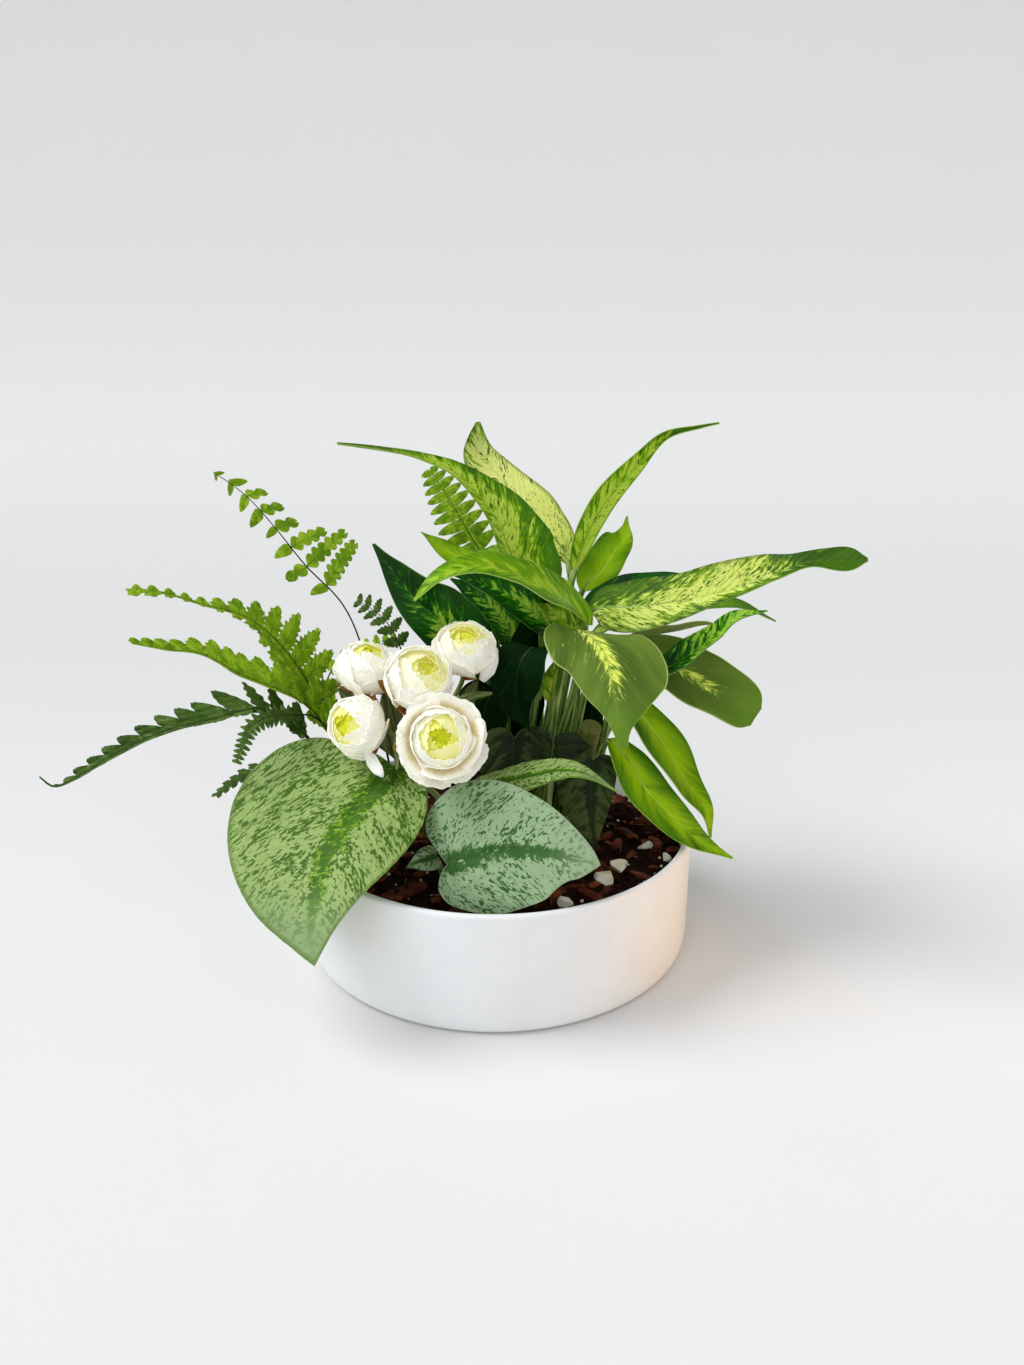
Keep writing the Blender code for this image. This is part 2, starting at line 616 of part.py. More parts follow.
def potting_mix(skin, holes):
    """The potting mix, with a plain hole for each root."""
    outer = BOWL_RADIUS - BOWL_WALL - CLEARANCE - 0.02
    profile = [(outer - 3.7, BOWL_FLOOR + CLEARANCE), (outer, BOWL_FLOOR + 5.2)]
    profile += [(outer * share, soil_height) for share in SOIL_RINGS]
    mix = turned("potting_mix", skin, profile, BOWL_FLOOR + CLEARANCE, soil_height(0, 0), SOIL_SIDES)
    cutters = []
    for (x, y), radius in holes:
        top = soil_height(x, y)
        outer_radius = (radius + CLEARANCE) / math.cos(math.pi / HOLE_SIDES)
        low, high = top - ROOT_DEPTH - CLEARANCE, top + STEM_FOOT
        corners = [2 * math.pi * k / HOLE_SIDES for k in range(HOLE_SIDES)]
        ring = [(x + outer_radius * math.cos(c), y + outer_radius * math.sin(c)) for c in corners]
        vertices = [(*p, low) for p in ring] + [(*p, high) for p in ring]
        faces = [tuple(range(HOLE_SIDES)), tuple(range(HOLE_SIDES, 2 * HOLE_SIDES))]
        for k in range(HOLE_SIDES):
            n = (k + 1) % HOLE_SIDES
            faces.append((k, n, n + HOLE_SIDES, k + HOLE_SIDES))
        cutters.append(new_object("hole", vertices, faces, skin))
    return combine(mix, cutters, "DIFFERENCE")


def rest_on(obj, ground):
    """Sets the object down until it lies the clearance above the ground."""
    bpy.context.view_layer.update()
    ground.data.calc_loop_triangles()
    tree = BVHTree.FromPolygons([v.co.copy() for v in ground.data.vertices],
                                [tuple(t.vertices) for t in ground.data.loop_triangles])
    spots = [v.co.copy() for v in obj.data.vertices]
    faces = [tuple(p.vertices) for p in obj.data.polygons]
    low, high = -20 * MM, 30 * MM
    for _ in range(20):
        shift = Vector((0, 0, (low + high) / 2))
        moved = [spot + shift for spot in spots]
        gaps = []
        for spot in moved:
            where, normal, _, distance = tree.find_nearest(spot)
            gaps.append(distance if (spot - where).dot(normal) > 0 else -distance)
        if min(gaps) > CLEARANCE * MM and not BVHTree.FromPolygons(moved, faces).overlap(tree):
            high = shift.z
        else:
            low = shift.z
    for vertex in obj.data.vertices:
        vertex.co.z += high


def pebble(name, skin, place, size, ground):
    """A small stone lying on the potting mix."""
    x, y = place
    frame = (np.array([1.0, 0, 0]), np.array([0, 1.0, 0]), np.array([0, 0, 1.0]))
    stone = ball(name, skin, np.array([x, y, soil_height(x, y) + size[2]]), frame, size, 8, 5)
    turn = random.uniform(0, math.pi)
    for vertex in stone.data.vertices:
        dx, dy = vertex.co.x - x * MM, vertex.co.y - y * MM
        vertex.co.x = x * MM + dx * math.cos(turn) - dy * math.sin(turn)
        vertex.co.y = y * MM + dx * math.sin(turn) + dy * math.cos(turn)
    rest_on(stone, ground)
    return stone


def bark_chip(name, skin, place, size, turn, ground):
    """A split piece of bark lying on the potting mix: a thin tapered slab."""
    x, y = place
    length, width, thick = size
    corners = [(-1, -0.7), (-0.4, -1), (0.8, -0.8), (1, 0.3), (0.3, 1), (-0.9, 0.8)]
    vertices = []
    for z, inset in ((0, 1.0), (thick, 0.86)):
        for u, v in corners:
            px, py = u * inset * length / 2, v * inset * width / 2
            vertices.append((x + px * math.cos(turn) - py * math.sin(turn),
                             y + px * math.sin(turn) + py * math.cos(turn),
                             soil_height(x, y) + z + 0.1 * px * inset))
    count = len(corners)
    faces = [tuple(range(count)), tuple(range(count, 2 * count))]
    faces += [(k, (k + 1) % count, (k + 1) % count + count, k + count) for k in range(count)]
    chip = new_object(name, vertices, faces, skin, 30)
    rest_on(chip, ground)
    return chip


# The pieces. Every root is (x, y) in mm, every spine runs from the blade's base to its tip.

CERAMIC = new_material("ceramic_white", (0.86, 0.85, 0.82), 0.32)
SOIL = new_material("potting_mix", (0.035, 0.018, 0.01), 0.95)
CANE_BRIGHT = new_material("cane_bright", (0.36, 0.47, 0.09), 0.4)
CANE_GREEN = new_material("cane_green", (0.09, 0.25, 0.02), 0.4)
CANE_DARK = new_material("cane_dark", (0.02, 0.09, 0.02), 0.38)
CANE_OLIVE = new_material("cane_olive", (0.12, 0.16, 0.05), 0.5)
SATIN_PALE = new_material("satin_pale", (0.33, 0.46, 0.2), 0.55)
SATIN_SILVER = new_material("satin_silver", (0.38, 0.53, 0.37), 0.55)
SATIN_DARK = new_material("satin_dark", (0.04, 0.09, 0.03), 0.5)
FERN = new_material("fern_green", (0.1, 0.23, 0.03), 0.5)
SILK = new_material("silk_white", (0.85, 0.83, 0.7), 0.7)
STEM = new_material("flower_stem", (0.11, 0.14, 0.04), 0.6)
STONE = new_material("stone_white", (0.62, 0.55, 0.44), 0.7)
BARK = new_material("bark_brown", (0.13, 0.045, 0.02), 0.9)

turned_bowl(CERAMIC)

# Dumb cane, from the tallest leaf down

cane_leaf("cane_leaf_01", CANE_BRIGHT, (28.5, 38),
          [(38, 46, 188), (22, 54, 209), (4, 62, 228), (-7, 68, 243), (-10, 74, 259)],
          (15, 14), [(0.1, -0.95, 0.3)], fold=0.15,
          widths=((0.12, 0.5, 0.75, 0.9, 1, 0.95, 0.8, 0.42, 0.1),
                  (0.12, 0.55, 0.86, 1, 0.9, 0.7, 0.45, 0.2, 0.06)), columns=4)
cane_leaf("cane_leaf_02", CANE_BRIGHT, (17.5, 38),
          [(22, 24, 173), (9, 18, 195), (0, 10, 218), (-10, 3, 232), (-21, -4, 243), (-35, -10, 249),
           (-52, -16, 253), (-71, -20, 256)],
          (9, 20), [(0.5, -0.8, 0.3), (0.6, -0.76, 0.25), (0.3, -0.6, 0.7), (0.1, -0.2, 1)], fold=0.6,
          widths=((0.12, 0.6, 0.9, 1, 0.9, 0.5, 0.25, 0.12, 0.06),
                  (0.12, 0.85, 1, 0.75, 0.42, 0.16, 0.1, 0.07, 0.04)), columns=4)
cane_leaf("cane_leaf_03", CANE_BRIGHT, (23, 35),
          [(41, 38, 186), (55, 42, 218), (73, 45, 239), (87, 48, 253), (105, 50, 258), (115, 52, 260)],
          (7, 5), [(0, -0.95, 0.3)], fold=1.3,
          widths=((0.25, 0.7, 0.95, 1, 0.85, 0.55, 0.25, 0.12, 0.05),
                  (0.25, 0.7, 0.95, 1, 0.8, 0.45, 0.2, 0.12, 0.05)))
cane_leaf("cane_leaf_04", CANE_GREEN, (23, 41.5),
          [(47, 62, 169), (58, 70, 178), (66, 80, 188), (72, 88, 194), (74, 94, 205)],
          (12.5, 9), [(-0.1, -0.9, 0.4)], fold=0.15,
          widths=((0.15, 0.6, 0.9, 1, 0.95, 0.85, 0.5, 0.15, 0.05),
                  (0.15, 0.6, 0.9, 1, 0.95, 0.85, 0.5, 0.15, 0.05)))
cane_leaf("cane_leaf_05", CANE_BRIGHT, (28.5, 31.5),
          [(49, 22, 167), (68, 16, 171), (87, 10, 175), (102, 6, 179), (118, 2, 184), (134, -2, 191),
           (151, -6, 199), (164, -8, 200), (178, -10, 201)],
          (16, 16), [(-0.1, -0.7, 0.7), (-0.1, -0.75, 0.65), (-0.1, -0.7, 0.7), (0, -0.8, 0.6)], fold=0.2,
          curl=((0, 0), (0, 0), (0, 4), (0, 0)),
          widths=((0.2, 0.75, 0.9, 0.9, 0.95, 0.8, 0.35, 0.42, 0.06),
                  (0.15, 0.9, 1, 0.7, 0.42, 0.38, 0.25, 0.4, 0.05)), columns=4)
cane_leaf("cane_leaf_06", CANE_GREEN, (36, 35),
          [(50, 34, 149), (76, 36, 160), (102, 36, 166), (126, 34, 168), (147, 30, 160)],
          (8, 8), [(-0.2, -0.3, 0.95)], fold=0.3)
cane_leaf("cane_leaf_07", CANE_OLIVE, (36, 42),
          [(56, 44, 134), (78, 48, 146), (100, 50, 150), (116, 50, 153), (124, 50, 150)],
          (8, 8), [(0.1, 0.5, 0.85)], fold=0.3)
cane_leaf("cane_leaf_08", CANE_DARK, (38, 31), [(50, 14, 137), (58, 10, 146), (70, 8, 149), (84, 6, 146)],
          (8, 8), [(-0.1, -0.5, 0.85)], fold=0.2)
cane_leaf("cane_leaf_09", CANE_DARK, (40, 26),
          [(74, 12, 131), (90, 6, 143), (102, 0, 154), (110, -5, 163), (117, -9, 172), (131, -14, 177)],
          (7, 9), [(-0.6, -0.5, 0.6)], fold=0.7)
cane_leaf("cane_leaf_10", CANE_OLIVE, (24, 17),
          [(38, -8, 164), (45, -24, 167), (52, -38, 160), (55, -50, 145), (57, -55, 134), (59, -57, 123)],
          (27, 24), [(0.4, -0.4, 0.8), (0.25, -0.7, 0.65), (0.1, -0.9, 0.4), (-0.1, -1, 0.1)], fold=0,
          curl=((0, 0), (-4, -2), (-3, -3), (0, 0)),
          widths=((0.1, 0.5, 0.8, 1, 1.08, 0.95, 0.5, 0.15, 0.08),
                  (0.1, 0.65, 0.95, 1, 0.8, 0.55, 0.25, 0.12, 0.08)), columns=4)
cane_leaf("cane_leaf_11", CANE_OLIVE, (42.5, 35),
          [(71, 26, 144), (90, 20, 140), (106, 12, 132), (123, 4, 124), (133, 2, 116)],
          (18, 16), [(0.25, -0.75, 0.6)], fold=0.1, widths=(BLUNT, BLUNT), columns=4)
cane_leaf("cane_leaf_12", CANE_GREEN, (54, 18),
          [(62, 4, 127), (73, -4, 120), (86, -14, 105), (97, -22, 88), (105, -27, 77), (107, -32, 65)],
          (12, 12), [(0.4, -0.6, 0.7)], fold=0.2)
cane_leaf("cane_leaf_13", CANE_GREEN, (48, 11),
          [(57, -10, 108), (66, -18, 101), (75, -26, 88), (84, -33, 80), (98, -41, 69), (115, -48, 62)],
          (11, 12), [(0.3, -0.75, 0.6)], fold=0.2)
cane_leaf("cane_leaf_14", CANE_DARK, (10, 35),
          [(-4, 30, 125), (-19, 24, 149), (-31, 19, 164), (-42, 14, 177), (-53, 8, 194), (-60, 4, 206)],
          (13, 21), [(-0.35, -0.85, 0.4)], fold=0.25, columns=4)
cane_leaf("cane_leaf_15", CANE_GREEN, (23, 28.5),
          [(45, 7, 164), (36, 0, 177), (24, -8, 186), (9, -15, 195), (-5, -21, 200), (-17, -27, 200),
           (-27, -31, 196), (-37, -35, 187)],
          (12, 12), [(-0.1, -0.5, 0.85), (0, -0.5, 0.85), (-0.2, -0.5, 0.8), (-0.5, -0.5, 0.6)], fold=0.3,
          widths=((0.3, 0.8, 1, 1, 0.85, 0.65, 0.5, 0.25, 0.05),
                  (0.3, 0.8, 1, 1, 0.85, 0.65, 0.5, 0.25, 0.05)))
cane_leaf("cane_leaf_16", CANE_DARK, (17, 31),
          [(33, 18, 152), (25, 12, 164), (12, 6, 176), (-2, 2, 185), (-21, -2, 192)],
          (8, 12), [(-0.1, -0.85, 0.5)], fold=0.2)
cane_leaf("cane_leaf_17", CANE_DARK, (12, 41),
          [(12, 32, 144), (2, 30, 162), (-11, 30, 175), (-24, 30, 183)],
          (11, 11), [(-0.2, -0.8, 0.5)], fold=0.2)
cane_leaf("cane_leaf_18", CANE_DARK, (12, 27),
          [(22, 10, 147), (18, 3, 153), (12, -4, 147), (10, -9, 130), (17, -14, 115)],
          (15, 14), [(0.2, 0.6, 0.6), (0, -0.1, 1), (-0.2, -0.8, 0.4), (-0.3, -0.85, 0.3)], fold=0.2)
cane_leaf("cane_leaf_19", CANE_DARK, (32, 46),
          [(47, 50, 160), (68, 60, 170), (93, 66, 174), (115, 70, 175)],
          (8, 8), [(-0.1, -0.6, 0.8)], fold=0.2)
cane_leaf("cane_leaf_20", CANE_BRIGHT, (33, 24), [(43, 16, 150), (37, 12, 162), (28, 8, 171), (20, 6, 176)],
          (7, 7), [(-0.1, -0.8, 0.6)], fold=0.2)
cane_leaf("cane_leaf_21", CANE_GREEN, (16, 47), [(-9, 70, 181), (-24, 76, 186), (-43, 82, 198)],
          (6, 6), [(-0.1, -0.8, 0.6)], fold=0.2)
cane_leaf("cane_leaf_22", CANE_GREEN, (23, 48), [(18, 56, 176), (4, 64, 186), (-13, 74, 190)],
          (6, 6), [(-0.1, -0.8, 0.6)], fold=0.2)
cane_leaf("cane_leaf_23", CANE_GREEN, (17, 20), [(28, 14, 120), (30, 12, 135), (34, 10, 149)],
          (6, 6), [(0, -1, 0)], fold=0.3)
cane_leaf("cane_leaf_24", CANE_DARK, (6, 20),
          [(4, 20, 118), (0, 16, 127), (-5, 11, 121), (-7, 8, 106), (-4, 6, 90)],
          (13, 13), [(0.2, 0.6, 0.6), (0, -0.1, 1), (-0.2, -0.8, 0.4), (-0.2, -0.9, 0.3)], fold=0.2)

CANE_PATH = [(44, 10, 80), (48, 6, 104), (49, 3, 111)]
tube("cut_cane", CANE_OLIVE, stem_start((40, 10), CANE_RADIUS) + CANE_PATH, (CANE_RADIUS, CANE_RADIUS), 10)

# Satin pothos, in front

pothos_leaf("pothos_leaf_1", SATIN_PALE, (-14, -34), [(-30, -30, 88)],
            [(-50, -34, 103), (-57, -54, 96), (-69, -84, 82), (-76, -104, 62), (-78, -112, 44)],
            (27, 81), (-0.35, -0.7, 0.62), fold=0.03, cup=7, lobes=(10, 21.5),
            outlines=(SLIM_HALF, FULL_HALF),
            rings=3, steps=14)
pothos_leaf("pothos_leaf_2", SATIN_SILVER, (-10, -52), [(-18, -64, 64)],
            [(-20, -72, 72), (5, -79, 82), (27, -85, 84), (47, -90, 81)],
            (38, 27), (-0.1, -0.85, 0.5), fold=0.03, cup=4, lobes=(14, 8),
            outlines=(UPPER_HALF, LOWER_HALF),
            rings=3, steps=13)
pothos_leaf("pothos_leaf_3", SATIN_PALE, (0, -22), [(-8, -28, 80)],
            [(-9, -34, 93), (17, -42, 103), (38, -48, 108), (58, -58, 102)],
            (14, 14), (0, -0.2, 1), cup=2, lobes=(6, 6))
pothos_leaf("pothos_leaf_4", SATIN_DARK, (34, -10), [(44, -11, 84)],
            [(49, -17, 98), (48, -21, 86), (48, -26, 72), (50, -31, 57)],
            (12, 18), (0, -0.95, 0.3), cup=2, lobes=(5, 6), ribs=(0.03,))
pothos_leaf("pothos_leaf_5", SATIN_DARK, (26, -16), [(28, -17, 88)],
            [(32, -18, 108), (40, -20, 110), (48, -22, 110)],
            (7, 7), (0, -0.95, 0.3), cup=1, lobes=(3, 3), rings=1)
pothos_leaf("pothos_leaf_6", SATIN_SILVER, (-26, -46), [], [(-29, -54, 66), (-35, -58, 66), (-42, -61, 64)],
            (6, 6), (-0.1, -0.85, 0.5), cup=1, lobes=(2, 2), rings=1)
pothos_leaf("pothos_leaf_7", SATIN_DARK, (4, -4), [(8, 0, 84)],
            [(9, -1, 104), (8, -6, 92), (8, -11, 78), (10, -15, 66)],
            (20, 18), (0, -0.95, 0.3), cup=2, lobes=(8, 8), ribs=(0.03,))

# Fern, at the left and the back

fern_frond("fern_frond_1", FERN, (-58, 38), [(-73, 42, 140)],
           [(-82, 36, 168), (-99, 30, 190), (-110, 24, 208), (-121, 17, 225), (-129, 12, 234),
            (-136, 8, 240)],
           [(-0.2, -0.9, 0.3)], 8, ((6, 13, 12, 7, 10, 6, 4, 2), (22, 26, 19, 14, 12, 10, 8, 3)), foot=0.3,
           cuts=(0.8, 0.6, 0.3))
fern_frond("fern_frond_2", FERN, (-64, 32), [(-84, 34, 84)],
           [(-94, 30, 100), (-98, 26, 121), (-108, 18, 145), (-119, 8, 163), (-128, 2, 171),
            (-144, -8, 179), (-157, -16, 186), (-171, -22, 190)],
           [(-0.1, -0.6, 0.8)], 14, ((6, 10, 14, 17, 10, 5, 4, 3, 5, 7),
                                     (10, 17, 24, 23, 17, 12, 8, 6, 5, 3)), raised=0.5, cuts=(0.7, 0.25))
fern_frond("fern_frond_3", FERN, (-64, 23), [(-82, 22, 82)],
           [(-90, 22, 99), (-98, 14, 117), (-108, 2, 130), (-128, -5, 142), (-144, -10, 154),
            (-159, -16, 158), (-174, -22, 163)],
           [(-0.1, -0.6, 0.8)], 13, ((6, 8, 6, 4, 3, 3, 2), (16, 16, 13, 9, 7, 5, 2)), raised=0.6,
           lean=0.5, cuts=(0.8, 0.2))
fern_frond("fern_frond_4", FERN, (-60, 14), [(-86, 16, 80)],
           [(-100, 14, 100), (-111, 4, 115), (-122, -8, 124), (-140, -16, 122), (-161, -24, 119),
            (-178, -32, 113), (-192, -38, 106), (-202, -43, 101), (-210, -46, 99), (-215, -48, 105)],
           [(-0.1, -0.6, 0.8)], 15, ((8, 7, 5, 4, 3, 3, 2, 1, 1), (12, 16, 15, 9, 8, 7, 5, 1, 1)),
           raised=0.6, lean=1.2, cuts=(0.7, 0.15))
fern_frond("fern_frond_5", FERN, (-54, 8), [(-84, 18, 96), (-96, 12, 113)],
           [(-104, 1, 118), (-115, -14, 122), (-121, -21, 119), (-124, -26, 112), (-127, -29, 104)],
           [(-0.2, -0.9, 0.3)], 9, ((6, 6, 5, 4, 2), (6, 6, 5, 4, 2)), cuts=(0.6, 0.2))
fern_frond("fern_frond_6", FERN, (-70, 44), [(-88, 34, 74)],
           [(-107, 20, 82), (-125, 10, 84), (-134, 0, 83), (-144, -10, 78)],
           [(-0.1, -0.6, 0.8)], 7, ((5, 4, 3, 2), (7, 8, 6, 3)), cuts=(0.7, 0.2), lean=0.8)
fern_frond("fern_frond_7", FERN, (-20, 60), [(-10, 82, 130)],
           [(-6, 90, 176), (-16, 94, 194), (-26, 98, 211), (-34, 101, 223), (-39, 103, 230)],
           [(0, -0.95, 0.3)], 10, ((15, 16, 14, 10, 5), (13, 13, 12, 9, 4)), lean=0.1, foot=0.5,
           cuts=(0.75, 0.35))
fern_frond("fern_frond_8", FERN, (-54, 50), [(-84, 44, 96)],
           [(-93, 44, 125), (-85, 50, 131), (-71, 56, 137), (-57, 62, 142)],
           [(0, -0.8, 0.6)], 7, ((7, 8, 7, 4), (5, 5, 4, 3)), cuts=(0.7, 0.2))
fern_frond("fern_frond_9", FERN, (-44, 56), [(-50, 52, 110)],
           [(-53, 50, 138), (-61, 54, 153), (-70, 58, 160), (-78, 60, 164)],
           [(0, -0.8, 0.6)], 6, ((7, 8, 7, 3), (7, 9, 8, 4)), cuts=(0.7, 0.2))

# White ranunculus, in the middle of the front

HEADS = [((-15.5, -2, 153.5), (0.15, -0.55, 0.8), 15.2), ((-65, -4, 143), (0.2, -0.6, 0.75), 15.2),
         ((-37, -27, 146), (0.1, -0.7, 0.7), 17),
         ((-66, -30, 124), (-0.4, -0.8, 0.4), 14.5), ((-24.5, -58, 128), (0.03, -0.92, 0.35), 20.5)]
SCRAPS = {4: [([(-62, -37, 114), (-57, -46, 110), (-52, -56, 109)], 3, (0, -0.9, 0.4))]}
for number, (centre, axis, radius) in enumerate(HEADS, 1):
    flower_head(f"flower_head_{number}", SILK, centre, axis, radius,
                [(5, 1.0, 60, 0.05, 0.3 * number), (3, 0.74, 36, 0.0, 0.5 + 0.3 * number)],
                SCRAPS.get(number, ()))
flower_spray("flower_stems", STEM, (-38, 0), (-38, -4, 92), HEADS,
             [([(-41, -12, 116), (-45, -36, 122), (-46, -48, 109)], 3.4, (0.3, 0, 1)),
              ([(-28, -6, 118), (-14, -12, 132), (-2, -16, 136)], 3.2, (0, -0.8, 0.6))])

mix = potting_mix(SOIL, ROOTS)
PEBBLES = [((33, -67), (5, 3.6, 2.6)), ((62, -33), (5.5, 3.5, 3)), ((53, -44), (6, 4.6, 3.2)),
           ((78, -9), (4.4, 3.2, 2.6)), ((88, -20), (3, 2.4, 2))]
CHIPS = [((-44, -56), (24, 8, 2), 0.5), ((46, -58), (16, 5, 1.6), 2.4)]
for number, (place, size) in enumerate(PEBBLES, 1):
    pebble(f"pebble_{number}", STONE, place, size, mix)
for number, (place, size, turn) in enumerate(CHIPS, 1):
    bark_chip(f"bark_chip_{number}", BARK, place, size, turn, mix)
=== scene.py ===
"""Dresses the dish garden: a low white bowl of dumb cane, satin pothos and fern, with silk ranunculus.

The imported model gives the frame. Each leaf, frond and flower head here follows the same table and formula as
the solid that it stands for, with a finer mesh. Tables are in millimetres, and MM turns them to metres. Left and
right are seen on a leaf's face with its tip up.
"""

import logging
import math
import random
from collections.abc import Sequence
from dataclasses import dataclass, replace
from enum import Enum

import bpy
import numpy as np
from mathutils import Matrix, Vector, noise

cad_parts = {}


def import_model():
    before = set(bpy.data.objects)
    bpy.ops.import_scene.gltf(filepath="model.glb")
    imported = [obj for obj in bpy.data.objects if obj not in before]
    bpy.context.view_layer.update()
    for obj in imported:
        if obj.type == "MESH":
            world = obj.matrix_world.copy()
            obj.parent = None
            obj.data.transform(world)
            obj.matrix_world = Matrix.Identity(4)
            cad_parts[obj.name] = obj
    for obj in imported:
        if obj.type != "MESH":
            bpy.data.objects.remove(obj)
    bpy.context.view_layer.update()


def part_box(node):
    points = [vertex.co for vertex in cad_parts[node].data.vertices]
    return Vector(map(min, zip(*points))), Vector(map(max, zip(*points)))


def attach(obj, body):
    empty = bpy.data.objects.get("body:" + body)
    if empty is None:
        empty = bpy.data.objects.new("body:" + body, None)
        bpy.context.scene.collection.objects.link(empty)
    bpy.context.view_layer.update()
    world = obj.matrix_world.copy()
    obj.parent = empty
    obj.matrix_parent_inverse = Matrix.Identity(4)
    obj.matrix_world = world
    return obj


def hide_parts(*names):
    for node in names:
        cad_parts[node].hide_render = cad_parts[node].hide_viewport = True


LOG = logging.getLogger("dish_garden")
MM = 0.001
BODY = "root"

Spot = tuple[float, float, float]
Pair = tuple[float, float]
Piece = bpy.types.Object
Skin = bpy.types.Material
Tree = bpy.types.NodeTree
Node = bpy.types.Node
Socket = bpy.types.NodeSocket
Array = np.ndarray


# Finishes


def linear(code: str) -> tuple[float, float, float, float]:
    """The linear colour of an sRGB hex code.

    Args:
        code: The colour as #rrggbb.

    Returns:
        Linear red, green and blue, and an alpha of 1.
    """
    shares = [int(code[i : i + 2], 16) / 255 for i in (1, 3, 5)]
    return (*(s / 12.92 if s <= 0.04045 else ((s + 0.055) / 1.055) ** 2.4 for s in shares), 1.0)


def wire(tree: Tree, node: Node, inputs: dict) -> None:
    """Sets a node's inputs.

    Args:
        tree: The material's node tree.
        node: The node.
        inputs: For each input, a value, an output to link, or a node to link by its first output in use.
    """
    for key, value in inputs.items():
        if isinstance(value, Node):
            value = next(output for output in value.outputs if output.enabled)
        if isinstance(value, Socket):
            tree.links.new(value, node.inputs[key])
        else:
            node.inputs[key].default_value = value


def add(tree: Tree, kind: str, settings: dict | None = None, links: dict | None = None) -> Node:
    """Adds one node with its settings and links.

    Args:
        tree: The material's node tree.
        kind: The node's type without the ShaderNode in front.
        settings: Properties to set, by name.
        links: What each of its inputs is set or linked to, as wire takes it.

    Returns:
        The new node.
    """
    made = tree.nodes.new("ShaderNode" + kind)
    for key, value in (settings or {}).items():
        setattr(made, key, value)
    wire(tree, made, links or {})
    return made


def new_skin(name: str, roughness: float, colour: str) -> tuple[Skin, Tree, Node]:
    """Makes a material with its Principled shader.

    Args:
        name: The material's name.
        roughness: The surface's roughness.
        colour: The plain colour, as hex.

    Returns:
        The material, its node tree and the shader.
    """
    skin = bpy.data.materials.new(name)
    skin.use_nodes = True
    tree = skin.node_tree
    shader = tree.nodes["Principled BSDF"]
    wire(tree, shader, {"Base Color": linear(colour), "Roughness": roughness})
    skin.diffuse_color = linear(colour)
    return skin, tree, shader


# Settings that several nodes share. Where inputs go by number, a Mix takes its share at 0 and its colours at 6
# and 7, and a Map Range its value at 0, the range that it reads at 1 and 2, and the one that it gives at 3 and 4.
RGBA = {"data_type": "RGBA"}
SMOOTH = {"interpolation_type": "SMOOTHSTEP"}
PRODUCT = {"operation": "MULTIPLY"}
SCALED_SUM = {"operation": "MULTIPLY_ADD"}
UNSIGNED = {"operation": "ABSOLUTE"}
COAT_ROUGHNESS = 0.25
GLAZE_COAT_ROUGHNESS = 0.12


class Slot(Enum):
    """The record's material slots."""

    CERAMIC = "ceramic_white"
    MIX = "potting_mix"
    CANE_BRIGHT = "cane_bright"
    CANE_GREEN = "cane_green"
    CANE_DARK = "cane_dark"
    CANE_OLIVE = "cane_olive"
    SATIN_PALE = "satin_pale"
    SATIN_SILVER = "satin_silver"
    SATIN_DARK = "satin_dark"
    FERN = "fern_green"
    SILK = "silk_white"
    STEM = "flower_stem"
    STONE = "stone_white"
    BARK = "bark_brown"


